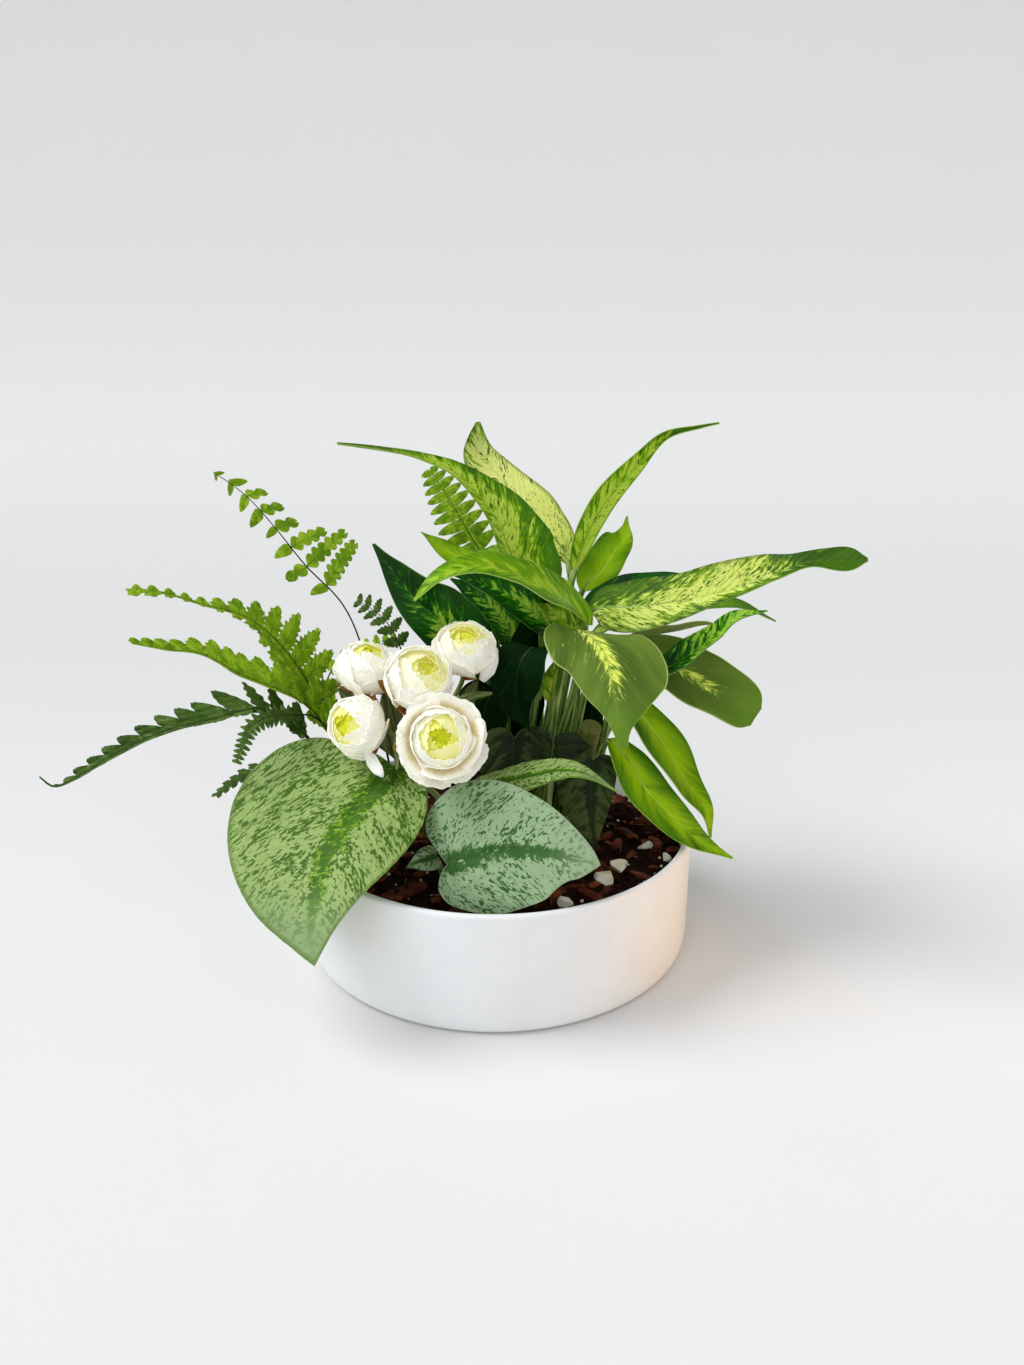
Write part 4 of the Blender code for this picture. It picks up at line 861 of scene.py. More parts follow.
@dataclass
class PottingMix:
    """Peaty potting mix: a rough dark mound with bark slivers, crumbs, straw and perlite worked into it."""

    around: int = 200
    rings: int = 70
    gap: float = 0.35
    deep: float = 20.0
    rough: float = 1.1
    scattered: float = 94.0
    seed: int = 11
    peat: GrainFinish = PEAT
    bits: Sequence[Bits] = (
        Bits("soil_crumbs", PEAT, Slot.MIX, 700, (0.8, 2.6), (1, 0.9, 0.8), levels=1, rough=0.35, own=5),
        Bits("bark_slivers", PINE_BARK, Slot.BARK, 330, (2.2, 9), (1, 0.46, 0.2), levels=2, rough=0.35, own=4),
        Bits("perlite_grains", PERLITE, Slot.STONE, 120, (0.5, 1.5), (1, 0.85, 0.8), levels=2, rough=0.2, own=7),
        Bits("straw_bits", STRAW, Slot.BARK, 40, (5, 11), (1, 0.06, 0.05), levels=1, rough=0.1, own=5),
    )

    def top(self, x: float, y: float) -> float:
        """Height of the rough surface at a place, in mm."""
        lumps = noise.fractal(Vector((x * 0.16, y * 0.16, 3.1)), 0.9, 2.1, 5)
        return float(soil_height(x, y)) + self.rough * lumps

    def build(self) -> None:
        """Builds the mound and what is scattered on it."""
        self.build_mound()
        draws = random.Random(self.seed)
        for bits in self.bits:
            self.scatter(bits, draws)

    def build_mound(self) -> None:
        """The mound: a grid wrapped to a disc, roughened, and closed below."""
        outer = BOWL_RADIUS - BOWL_WALL - self.gap
        mound, u, v = add_grid("potting_mound", self.around, self.rings)
        reach = outer * v**0.8
        x, y = reach * np.cos(math.pi * u), reach * np.sin(math.pi * u)
        x, y = np.where(v == 0, 0, x), np.where(v == 0, 0, y)
        seam = np.isclose(np.abs(u), 1)
        x, y = np.where(seam, -reach, x), np.where(seam, 0, y)
        z = np.array([self.top(a, b) for a, b in zip(x, y)])
        place_points(mound, np.stack([x, y, z], axis=1))
        weld(mound)
        bpy.ops.object.mode_set(mode="EDIT")
        bpy.ops.mesh.select_all(action="DESELECT")
        bpy.ops.mesh.select_non_manifold()
        bpy.ops.mesh.extrude_region_move(TRANSFORM_OT_translate={"value": (0, 0, -self.deep * MM)})
        bpy.ops.mesh.edge_face_add()
        bpy.ops.mesh.select_all(action="SELECT")
        bpy.ops.mesh.normals_make_consistent(inside=False)
        bpy.ops.object.mode_set(mode="OBJECT")
        mound.data.materials.append(self.peat.skin())
        settle(mound, ["potting_mix"], 50)

    @staticmethod
    def stencil(bits: Bits) -> Piece:
        """One bit of the mix, about 2 across, that is copied many times.

        Args:
            bits: Its kind.

        Returns:
            The bit.
        """
        pick()
        bpy.ops.mesh.primitive_ico_sphere_add(subdivisions=bits.levels, radius=1)
        bit = bpy.context.object
        for vertex in bit.data.vertices:
            vertex.co *= 1 + bits.rough * noise.noise(vertex.co * 1.7 + Vector((bits.own, 0, 0)))
            vertex.co = Vector(max(-0.8, min(0.8, c)) for c in vertex.co)
        return bit

    def scatter(self, bits: Bits, draws: random.Random) -> None:
        """Copies a bit over the mix, each copy half sunk and turned its own way.

        Args:
            bits: Its kind.
            draws: Where the random numbers come from.
        """
        bit, skin = self.stencil(bits), bits.finish.skin()
        copies = []
        while len(copies) < bits.count:
            reach, turn = self.scattered * math.sqrt(draws.random()), draws.uniform(0, 2 * math.pi)
            size = draws.uniform(*bits.sizes) * draws.uniform(0.6, 1)
            reach = min(reach, BOWL_RADIUS - BOWL_WALL - size - 1)
            x, y = reach * math.cos(turn), reach * math.sin(turn)
            copy = bit.copy()
            copy.data = bit.data.copy()
            bpy.context.scene.collection.objects.link(copy)
            lean = Matrix.Rotation(draws.uniform(-0.35, 0.35), 4, "X")
            lean = lean @ Matrix.Rotation(draws.uniform(-0.35, 0.35), 4, "Y")
            stretch = Matrix.Diagonal((*(size * share * draws.uniform(0.8, 1.2) * MM for share in bits.shape), 1))
            lift = Matrix.Translation((x * MM, y * MM, (self.top(x, y) + size * bits.shape[2] * 0.35) * MM))
            copy.data.transform(lift @ Matrix.Rotation(draws.uniform(0, 2 * math.pi), 4, "Z") @ lean @ stretch)
            copies.append(copy)
        bpy.data.objects.remove(bit)
        made = join(copies, bits.name)
        made.data.materials.append(skin)
        settle(made, (), 35)


@dataclass
class LooseStones:
    """White pebbles and bark chips lying on the mix where the solids of the model lie."""

    stone: GrainFinish = GrainFinish("marble_chip", "#efe6cf", "#fbf6e8", "#d6bf94", grain_mm=3.0, roughness=0.65,
                                     bump_mm=0.15)
    bark: GrainFinish = GrainFinish("bark_chip", "#32140a", "#6a2c14", "#8a4a26", grain_mm=2.5, roughness=0.85,
                                    bump_mm=0.5, stretch=(0.4, 1.5, 1.5), gloss=0.15)
    stones: int = 5
    rough: float = 0.28
    facets: int = 9
    chips: Sequence[tuple[float, Spot]] = ((0.5, (24, 8, 2)), (2.4, (16, 5, 1.6)))

    def build(self) -> None:
        """Builds each stone and chip in the box of its node."""
        stone, bark = self.stone.skin(), self.bark.skin()
        for number in range(1, self.stones + 1):
            self.lump(number, stone)
        for number, (turn, size) in enumerate(self.chips, 1):
            self.chip(number, turn, size, bark)

    def lump(self, number: int, skin: Skin) -> None:
        """A broken stone with worn corners, as large as its node.

        Args:
            number: Which stone it is.
            skin: Its material.
        """
        node = f"pebble_{number}"
        low, high = (np.array(corner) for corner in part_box(node))
        draws = random.Random(number)
        cuts = [(Vector(draws.gauss(0, 1) for _ in range(3)).normalized(), draws.uniform(0.45, 0.75))
                for _ in range(self.facets)]
        pick()
        bpy.ops.mesh.primitive_ico_sphere_add(subdivisions=5, radius=1)
        made = bpy.context.object
        for vertex in made.data.vertices:
            spot = vertex.co.copy()
            spot *= 1 + self.rough * noise.noise(spot * 1.1 + Vector((number * 3.3, 1, 2)))
            for way, cut in cuts:
                spot -= way * max(0.0, spot.dot(way) - cut)
            vertex.co = spot
        pick(made)
        step = made.modifiers.new("worn", "SMOOTH")
        step.factor, step.iterations = 0.5, 3
        bpy.ops.object.modifier_apply(modifier=step.name)
        spots = read_points(made)
        spots = (spots - spots.min(0)) / (spots.max(0) - spots.min(0))
        place_points(made, (low + spots * (high - low)) / MM)
        made.name = made.data.name = f"white_pebble_{number}"
        made.data.materials.append(skin)
        settle(made, [node], 50)

    @staticmethod
    def chip(number: int, turn: float, size: Spot, skin: Skin) -> None:
        """A split piece of bark: a ragged slab at its node's place.

        Args:
            number: Which chip it is.
            turn: How far it is turned about the vertical.
            size: Its length, width and thickness, in mm.
            skin: Its material.
        """
        node = f"bark_chip_{number}"
        low, high = (np.array(corner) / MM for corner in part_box(node))
        made, u, v = add_grid(f"pine_chip_{number}", 24, 8)
        length, width, thick = size
        middle = (low + high) / 2
        ragged = np.array([noise.noise(Vector((a * 4, b * 3, number))) for a, b in zip(u, v)])
        taper = 1 - 0.35 * np.abs(u) ** 3
        px = (u + 0.06 * ragged) * length / 2
        py = (v - 0.5 + 0.1 * ragged) * width * taper
        pz = middle[2] + 0.1 * px * 0.8 + 0.35 * ragged
        spots = np.stack([middle[0] + px * math.cos(turn) - py * math.sin(turn),
                          middle[1] + px * math.sin(turn) + py * math.cos(turn), pz], axis=1)
        place_points(made, spots)
        thicken(made, thick * 0.8, [skin])
        settle(made, [node], 40)


# Dumb cane


BRIGHT = LeafFinish("cane_cream", Slot.CANE_BRIGHT, "#294c06", "#4f7a0c", "#8cb01c", "#bccd46", "#d9e180",
                    "#2f5c08", "#8f9c5c", "#5c7a30", "#8fae40", roughness=0.42, patch_mm=3.4, stretch=1.0,
                    fleck_mm=1.6, fleck_share=0.42, edge=0.1, margin=0.55, tip="#3f640a", tip_share=0.5)
# Painted light: a paler copy of BRIGHT for leaf 1, which catches less light where it faces, so its patches are
# painted lighter to make up for it.
CREAM = replace(BRIGHT, name="cane_palest", halo="#9cbc20", patch="#d2dc58", pale="#ecf09a", fleck_share=0.34)
LIME = LeafFinish("cane_lime", Slot.CANE_BRIGHT, "#306404", "#589406", "#8cba10", "#bad834", "#cee060", "#3c7004",
                  "#8ea05a", "#5f8230", "#8cb62c", roughness=0.38, patch_mm=4.2, stretch=0.85, fleck_mm=1.9,
                  fleck_share=0.36, edge=0.08, margin=0.5, tip="#4c6420", tip_share=0.9)
GREEN = LeafFinish("cane_green", Slot.CANE_GREEN, "#2c6002", "#548804", "#78a808", "#9cbe1c", "#b0ca34", "#3c7204",
                   "#7d9440", "#a8bd5a", "#90b834", roughness=0.36, patch_mm=4.2, stretch=0.7, fleck_mm=2.0,
                   fleck_share=0.15, edge=0.2, halo_width=0.5, hem=0.5)
PLAIN = LeafFinish("cane_plain", Slot.CANE_GREEN, "#2f6004", "#4c8006", "#88b006", "#94b80c", "#a2c014", "#447402",
                   "#7d9440", "#a8bd5a", "#a4c048", roughness=0.36, patch_mm=14.0, stretch=0.8, fleck_mm=2.4,
                   fleck_share=-0.6, edge=0.7, halo_width=0.9, margin=0.5, hem=0.5, halo_mm=12.0, gloss=0.08,
                   quilting=0.25)
DEEP = LeafFinish("cane_deep", Slot.CANE_DARK, "#063202", "#125404", "#2c7e06", "#8cba28", "#a8cc48", "#0a4402",
                  "#6f8840", "#6f9040", "#3f8a1c", roughness=0.34, patch_mm=3.4, stretch=0.9, fleck_mm=1.9,
                  fleck_share=0.15, sheen=0.06)
# Near-black greens: painted shade for the leaves deep inside the plant (18, 24 and the shaded leaves), darker than
# a lit leaf of the same kind.
DARK = LeafFinish("cane_dark", Slot.CANE_DARK, "#021602", "#062604", "#164c08", "#88b42c", "#a8c858", "#042004",
                  "#2c4416", "#34501c", "#124006", roughness=0.6, patch_mm=4.0, stretch=0.55, fleck_mm=2.2,
                  fleck_share=0.1, gloss=0.04, quilting=0.3)
OLIVE = LeafFinish("cane_olive", Slot.CANE_OLIVE, "#4c661c", "#6a842e", "#84a03a", "#dde64a", "#ecf27c", "#4c7020",
                   "#6f7a3c", "#bcca78", "#84a838", roughness=0.5, patch_mm=2.3, stretch=0.6, fleck_mm=1.8,
                   fleck_share=0.0, halo_width=0.22, hem=0.75, tip="#5c8818", tip_share=0.6, quilting=0.4)
STALK = StalkFinish("cane_stalk", "#406a12", "#a2bc66")
FLAT_CURL = ((0, 0), (0, 0))

D1_PAINT = ((0, 0.6, 0.5, 0.6, 0.5), (0.2, 0.92, 0.72, 0.92, 0.76), (0.55, 0.95, 0.7, 1.0, 0.85),
            (0.8, 0.85, 0.58, 0.88, 0.68), (1, 0.45, 0.25, 0.45, 0.2))
D2_PAINT = ((0, 0.4, 0.4, 0.4, 0.05), (0.15, 0.5, 0.35, 0.66, 0.2), (0.4, 0.64, 0.55, 0.7, 0.25),
            (0.6, 0.7, 0.66, 0.62, 0.25), (0.75, 0.6, 0.5, 0.4, 0.2), (1, 0.1, 0.1, 0.1, 0.1))
D3_PAINT = ((0, 0.5, 0.35, 0.95, 0.95), (0.3, 0.62, 0.45, 0.98, 0.95), (0.6, 0.7, 0.4, 0.7, 0.5),
            (0.8, 0.4, 0.2, 0.3, 0.2), (1, 0.1, 0.1, 0.1, 0.1))
D4_PAINT = ((0, 0.65, 0.45, 0.65, 0.45), (0.3, 0.55, 0.25, 0.55, 0.25), (0.6, 0.35, 0.15, 0.35, 0.15),
            (1, 0.2, 0.1, 0.2, 0.1))
D5_PAINT = ((0, 0.2, 0, 0.5, 0.5), (0.12, 0.42, 0.05, 0.6, 0.52), (0.25, 0.6, 0.15, 0.68, 0.5),
            (0.4, 0.78, 0.45, 0.78, 0.3), (0.55, 0.82, 0.62, 0.7, 0.2), (0.66, 0.7, 0.5, 0.5, 0.15),
            (0.74, 0.4, 0.15, 0.2, 0.1), (0.8, 0, 0, 0, 0), (1, 0, 0, 0, 0))
D6_PAINT = ((0, 0.7, 0.3, 0.8, 0.6), (0.2, 0.6, 0.2, 0.75, 0.5), (0.4, 0.4, 0.1, 0.5, 0.2), (1, 0.1, 0, 0.1, 0))
D9_PAINT = ((0, 0, 0, 0, 0), (0.3, 0.2, 0.15, 0.2, 0.15), (0.5, 0.56, 0.54, 0.56, 0.54),
            (1, 0.66, 0.62, 0.66, 0.62))
D10_PAINT = ((0, 0, 0, 0, 0), (0.12, 0.6, 0, 0.5, 0), (0.28, 0.8, 0, 0.66, 0.1), (0.45, 0.7, 0, 0.6, 0.1),
             (0.64, 0.56, 0, 0.44, 0.04), (0.74, 0.1, 0, 0.1, 0), (1, 0, 0, 0, 0))
D11_PAINT = ((0, 0.3, 0, 0.3, 0), (0.3, 0.62, 0, 0.62, 0), (0.6, 0.64, 0, 0.6, 0), (0.74, 0.1, 0, 0.1, 0),
             (1, 0, 0, 0, 0))
D12_PAINT = ((0, 0.3, 0, 0.3, 0), (0.3, 0.45, 0, 0.45, 0), (0.6, 0.35, 0, 0.35, 0), (1, 0.1, 0.1, 0.1, 0.1))
D13_PAINT = ((0, 0.45, 0, 0.45, 0), (0.5, 0.35, 0, 0.3, 0), (1, 0.2, 0.05, 0.2, 0.05))
D14_PAINT = ((0, 0.3, 0.1, 0.3, 0.1), (0.15, 0.85, 0.3, 0.8, 0.3), (0.4, 0.82, 0.1, 0.72, 0.1),
             (0.55, 0.35, 0, 0.35, 0), (1, 0, 0, 0, 0))
D15_PAINT = ((0, 0.45, 0.15, 0.6, 0.3), (0.3, 0.5, 0.1, 0.6, 0.3), (0.6, 0.65, 0.15, 0.6, 0.2),
             (1, 0.4, 0.2, 0.4, 0.2))
D16_PAINT = ((0, 0.4, 0, 0.5, 0.05), (0.3, 0.6, 0.05, 0.66, 0.1), (0.6, 0.5, 0, 0.55, 0.05), (1, 0.1, 0, 0.1, 0))
PLAIN_PAINT = ((0, 0.25, 0.1, 0.25, 0.1), (0.5, 0.2, 0.05, 0.2, 0.05), (1, 0.1, 0.05, 0.1, 0.05))
BARE_PAINT = ((0, 0, 0, 0, 0), (1, 0, 0, 0, 0))
FLECK_PAINT = ((0, 0.6, 0.4, 0.6, 0.4), (1, 0.5, 0.35, 0.5, 0.35))


@dataclass(frozen=True)
class CaneLeaf:
    """A dumb cane leaf: its table, and how its blade and leafstalk are made.

    Spine is the midrib from the blade's foot to its tip, halves the half widths on the left and the right, and
    facing the way that the face looks along it. Each row of paint is a share of the length, then the cover beside
    the midrib and at the margin on the left, and the same on the right. Splash is how far out from the midrib that
    cover changes over, and widths the outline of each half.
    """

    number: int
    finish: LeafFinish
    root: Pair
    spine: Sequence[Spot]
    halves: Pair
    facing: Sequence[Spot]
    paint: Sequence[Sequence[float]]
    fold: float = 0.2
    curl: Sequence[Pair] = FLAT_CURL
    widths: tuple[Sequence[float], Sequence[float]] = (OVATE, OVATE)
    ripple: float = 0.7
    columns: int = 20
    rows: int = 72
    thick: float = 0.6
    stalk_radii: Pair = (2.7, 1.7)
    stalk_stops: int = 18
    rib_stops: int = 24
    waves: float = 2.6
    splash: float = 0.9

    def build(self, skins: Sequence[Skin], stalk_skin: Skin) -> None:
        """Builds the leaf and settles it on its node.

        Args:
            skins: The blade's face, underside and edge.
            stalk_skin: The leafstalk's skin.
        """
        line = Line([*stem_start(self.root), *self.spine])
        start = line.near(self.spine[0])
        leaf = join([self.blade(line, start, skins), self.stalk(line, start, stalk_skin)],
                    f"dumb_cane_leaf_{self.number:02d}")
        settle(leaf, [f"cane_leaf_{self.number:02d}"])

    def blade(self, line: Line, start: float, skins: Sequence[Skin]) -> Piece:
        """The blade: a grid folded at the midrib, with curled and rippled edges.

        Args:
            line: The line from the root to the blade's tip.
            start: Where the blade starts on it.
            skins: The blade's face, underside and edge.

        Returns:
            The blade.
        """
        blade, u, v = add_grid("blade", self.columns, self.rows)
        whole = line.length - start
        centres, ways = line.at(start + v * whole)
        faces, sides = squared(spread(self.facing, v), ways)
        left = u < 0
        reach = np.where(left, self.halves[0] * width_at(self.widths[0], v),
                         self.halves[1] * width_at(self.widths[1], v))
        reach = np.maximum(reach, 0.4)
        curl = spread(self.curl, v)
        curl = np.where(left, curl[:, 0], curl[:, 1])
        t = np.abs(u)
        lift = (np.sqrt(t * t + 0.004) - 0.063) * reach * self.fold + t * t * curl
        wave = np.sin(2 * math.pi * (self.waves * v + 0.31 * self.number + np.where(left, 0.37, 0)))
        lift = lift + self.ripple * t**3 * wave * np.clip(reach / 8, 0, 1)
        place_points(blade, centres + sides * (u * reach)[:, None] + faces * lift[:, None])
        across = u * reach
        vein = v * whole - 1.5 * np.abs(across) - 0.01 * across**2
        table = np.array(self.paint, float)
        read = [np.interp(v, table[:, 0], table[:, k]) for k in range(1, 5)]
        outward = smoothstep(0.1 * self.splash, self.splash, t)
        middle, edge = np.where(left, read[0], read[2]), np.where(left, read[1], read[3])
        mark_pattern(blade, (u, v, self.number), (across, vein, self.number * PATTERN_STEP),
                     middle + (edge - middle) * outward)
        return thicken(blade, self.thick, skins)

    def stalk(self, line: Line, start: float, skin: Skin) -> Piece:
        """The leafstalk, running on as the rib below the blade.

        Args:
            line: The line from the root to the blade's tip.
            start: Where the blade starts on it.
            skin: The leafstalk's skin.

        Returns:
            The leafstalk.
        """
        foot, shares = self.stalk_stops, np.linspace(0.02, 0.94, self.rib_stops)
        stops = np.concatenate([np.linspace(0, start, foot), start + shares * (line.length - start)])
        radii = np.concatenate([np.linspace(*self.stalk_radii, foot), 0.3 + 1.1 * (1 - shares) ** 2])
        facing = np.concatenate([np.repeat([self.facing[0]], foot, axis=0), spread(self.facing, shares)])
        drop = np.concatenate([np.zeros(foot), 0.1 + 0.8 * (1 - shares) ** 2])
        return add_tube("stalk", line, stops, radii, skin, facing, drop)


CANE_LEAVES = (
    CaneLeaf(1, CREAM, (28.5, 38), ((38, 46, 188), (22, 54, 209), (4, 62, 228), (-7, 68, 243), (-10, 74, 259)),
             (15, 14), ((0.1, -0.95, 0.3),), D1_PAINT, fold=0.15,
             widths=((0.12, 0.5, 0.75, 0.9, 1, 0.95, 0.8, 0.42, 0.1),
                     (0.12, 0.55, 0.86, 1, 0.9, 0.7, 0.45, 0.2, 0.06))),
    CaneLeaf(2, LIME, (17.5, 38),
             ((22, 24, 173), (9, 18, 195), (0, 10, 218), (-10, 3, 232), (-21, -4, 243), (-35, -10, 249),
              (-52, -16, 253), (-71, -20, 256)), (9, 20),
             ((0.5, -0.8, 0.3), (0.6, -0.76, 0.25), (0.3, -0.6, 0.7), (0.1, -0.2, 1)), D2_PAINT, fold=0.6,
             widths=((0.12, 0.6, 0.9, 1, 0.9, 0.5, 0.25, 0.12, 0.06),
                     (0.12, 0.85, 1, 0.75, 0.42, 0.16, 0.1, 0.07, 0.04))),
    CaneLeaf(3, LIME, (23, 35),
             ((41, 38, 186), (55, 42, 218), (73, 45, 239), (87, 48, 253), (105, 50, 258), (115, 52, 260)), (7, 5),
             ((0, -0.95, 0.3),), D3_PAINT, fold=1.3,
             widths=((0.25, 0.7, 0.95, 1, 0.85, 0.55, 0.25, 0.12, 0.05),
                     (0.25, 0.7, 0.95, 1, 0.8, 0.45, 0.2, 0.12, 0.05))),
    CaneLeaf(4, PLAIN, (23, 41.5), ((47, 62, 169), (58, 70, 178), (66, 80, 188), (72, 88, 194), (74, 94, 205)),
             (12.5, 9), ((-0.1, -0.9, 0.4),), D4_PAINT, fold=0.15,
             widths=((0.15, 0.6, 0.9, 1, 0.95, 0.85, 0.5, 0.15, 0.05),) * 2),
    CaneLeaf(5, BRIGHT, (28.5, 31.5),
             ((49, 22, 167), (68, 16, 171), (87, 10, 175), (102, 6, 179), (118, 2, 184), (134, -2, 191),
              (151, -6, 199), (164, -8, 200), (178, -10, 201)), (16, 16),
             ((-0.1, -0.7, 0.7), (-0.1, -0.75, 0.65), (-0.1, -0.7, 0.7), (0, -0.8, 0.6)), D5_PAINT,
             curl=((0, 0), (0, 0), (0, 4), (0, 0)),
             widths=((0.2, 0.75, 0.9, 0.9, 0.95, 0.8, 0.35, 0.42, 0.06),
                     (0.15, 0.9, 1, 0.7, 0.42, 0.38, 0.25, 0.4, 0.05))),
    CaneLeaf(6, LIME, (36, 35), ((50, 34, 149), (76, 36, 160), (102, 36, 166), (126, 34, 168), (147, 30, 160)),
             (8, 8), ((-0.2, -0.3, 0.95),), D6_PAINT, fold=0.3),
    CaneLeaf(7, OLIVE, (36, 42), ((56, 44, 134), (78, 48, 146), (100, 50, 150), (116, 50, 153), (124, 50, 150)),
             (8, 8), ((0.1, 0.5, 0.85),), PLAIN_PAINT, fold=0.3),
    CaneLeaf(8, DEEP, (38, 31), ((50, 14, 137), (58, 10, 146), (70, 8, 149), (84, 6, 146)), (8, 8),
             ((-0.1, -0.5, 0.85),), BARE_PAINT),
    CaneLeaf(9, DEEP, (40, 26),
             ((74, 12, 131), (90, 6, 143), (102, 0, 154), (110, -5, 163), (117, -9, 172), (131, -14, 177)), (7, 9),
             ((-0.6, -0.5, 0.6),), D9_PAINT, fold=0.7),
    CaneLeaf(10, OLIVE, (24, 17),
             ((38, -8, 164), (45, -24, 167), (52, -38, 160), (55, -50, 145), (57, -55, 134), (59, -57, 123)),
             (27, 24), ((0.4, -0.4, 0.8), (0.25, -0.7, 0.65), (0.1, -0.9, 0.4), (-0.1, -1, 0.1)), D10_PAINT,
             fold=0, curl=((0, 0), (-4, -2), (-3, -3), (0, 0)),
             widths=((0.1, 0.5, 0.8, 1, 1.08, 0.95, 0.5, 0.15, 0.08),
                     (0.1, 0.65, 0.95, 1, 0.8, 0.55, 0.25, 0.12, 0.08)), splash=0.34),
    CaneLeaf(11, OLIVE, (42.5, 35), ((71, 26, 144), (90, 20, 140), (106, 12, 132), (123, 4, 124), (133, 2, 116)),
             (18, 16), ((0.25, -0.75, 0.6),), D11_PAINT, fold=0.1, widths=(BLUNT, BLUNT), splash=0.4),
    CaneLeaf(12, PLAIN, (54, 18),
             ((62, 4, 127), (73, -4, 120), (86, -14, 105), (97, -22, 88), (105, -27, 77), (107, -32, 65)),
             (12, 12), ((0.4, -0.6, 0.7),), D12_PAINT),
    CaneLeaf(13, PLAIN, (48, 11),
             ((57, -10, 108), (66, -18, 101), (75, -26, 88), (84, -33, 80), (98, -41, 69), (115, -48, 62)),
             (11, 12), ((0.3, -0.75, 0.6),), D13_PAINT),
    CaneLeaf(14, DEEP, (10, 35),
             ((-4, 30, 125), (-19, 24, 149), (-31, 19, 164), (-42, 14, 177), (-53, 8, 194), (-60, 4, 206)),
             (13, 21), ((-0.35, -0.85, 0.4),), D14_PAINT, fold=0.25),
    CaneLeaf(15, GREEN, (23, 28.5),
             ((45, 7, 164), (36, 0, 177), (24, -8, 186), (9, -15, 195), (-5, -21, 200), (-17, -27, 200),
              (-27, -31, 196), (-37, -35, 187)), (12, 12),
             ((-0.1, -0.5, 0.85), (0, -0.5, 0.85), (-0.2, -0.5, 0.8), (-0.5, -0.5, 0.6)), D15_PAINT, fold=0.3,
             widths=((0.3, 0.8, 1, 1, 0.85, 0.65, 0.5, 0.25, 0.05),) * 2),
    CaneLeaf(16, DEEP, (17, 31), ((33, 18, 152), (25, 12, 164), (12, 6, 176), (-2, 2, 185), (-21, -2, 192)),
             (8, 12), ((-0.1, -0.85, 0.5),), D16_PAINT),
    CaneLeaf(17, DEEP, (12, 41), ((12, 32, 144), (2, 30, 162), (-11, 30, 175), (-24, 30, 183)), (11, 11),
             ((-0.2, -0.8, 0.5),), D16_PAINT),
    CaneLeaf(18, DARK, (12, 27), ((22, 10, 147), (18, 3, 153), (12, -4, 147), (10, -9, 130), (17, -14, 115)),
             (15, 14), ((0.2, 0.6, 0.6), (0, -0.1, 1), (-0.2, -0.8, 0.4), (-0.3, -0.85, 0.3)), BARE_PAINT),
    CaneLeaf(19, DEEP, (32, 46), ((47, 50, 160), (68, 60, 170), (93, 66, 174), (115, 70, 175)), (8, 8),
             ((-0.1, -0.6, 0.8),), BARE_PAINT),
    CaneLeaf(20, LIME, (33, 24), ((43, 16, 150), (37, 12, 162), (28, 8, 171), (20, 6, 176)), (7, 7),
             ((-0.1, -0.8, 0.6),), FLECK_PAINT),
    CaneLeaf(21, PLAIN, (16, 47), ((-9, 70, 181), (-24, 76, 186), (-43, 82, 198)), (6, 6), ((-0.1, -0.8, 0.6),),
             PLAIN_PAINT),
    CaneLeaf(22, PLAIN, (23, 48), ((18, 56, 176), (4, 64, 186), (-13, 74, 190)), (6, 6), ((-0.1, -0.8, 0.6),),
             PLAIN_PAINT),
    CaneLeaf(23, LIME, (17, 20), ((28, 14, 120), (30, 12, 135), (34, 10, 149)), (6, 6), ((0, -1, 0),), FLECK_PAINT,
             fold=0.3),
    CaneLeaf(24, DARK, (6, 20), ((4, 20, 118), (0, 16, 127), (-5, 11, 121), (-7, 8, 106), (-4, 6, 90)), (15, 16),
             ((0.2, 0.6, 0.6), (0, -0.1, 1), (-0.2, -0.8, 0.4), (-0.2, -0.9, 0.3)), BARE_PAINT),
)


@dataclass
class DumbCane:
    """The dumb cane: all its leaves, two near-black leaves in painted shade deep inside it, and the cut end of an
    old cane between them.
    """

    leaves: Sequence[CaneLeaf] = CANE_LEAVES
    cane_radius: float = 5.4
    cane_root: Pair = (40, 10)
    cane_path: Sequence[Spot] = ((44, 10, 80), (48, 6, 104), (49, 3, 111))
    cut: GrainFinish = GrainFinish("cut_cane", "#5d6a26", "#7d8434", "#8f7a3e", grain_mm=1.5, roughness=0.6,
                                   bump_mm=0.2)
    # Two small near-black leaves deep in the plant, in painted shade: the half width, then the spine.
    shaded: Sequence[Sequence] = ((12, (12, 24, 84), (14, 27, 115), (16, 28, 145), (19, 29, 172)),
                                  (7, (50, 24, 84), (51, 26, 108), (50, 27, 130)))

    def build(self) -> None:
        """Builds the leaves and the cut cane."""
        stalk = STALK.skin()
        skins = {finish.name: finish.skins() for finish in (BRIGHT, CREAM, LIME, GREEN, PLAIN, DEEP, DARK, OLIVE)}
        for leaf in self.leaves:
            leaf.build(skins[leaf.finish.name], stalk)
        for number, (half, *spine) in enumerate(self.shaded):
            inner = small_leaf(f"shaded_leaf_{number}", skins[DARK.name][0], spine, half, (0.1, -0.95, 0.3), 0.6)
            settle(inner)
        line = Line([*stem_start(self.cane_root), *self.cane_path])
        stops = np.concatenate([np.linspace(0, line.length - 0.8, 40), [line.length - 0.2, line.length]])
        joints = 1 + 0.05 * np.exp(-(((stops % 17) - 8.5) ** 2) / 1.5)
        radii = self.cane_radius * joints * np.concatenate([np.ones(40), [0.97, 0.9]])
        cane = add_tube("old_cane", line, stops, radii, self.cut.skin(), TOWARDS_VIEWER, 0.0, 24)
        settle(cane, ["cut_cane"], 40)


# Satin pothos


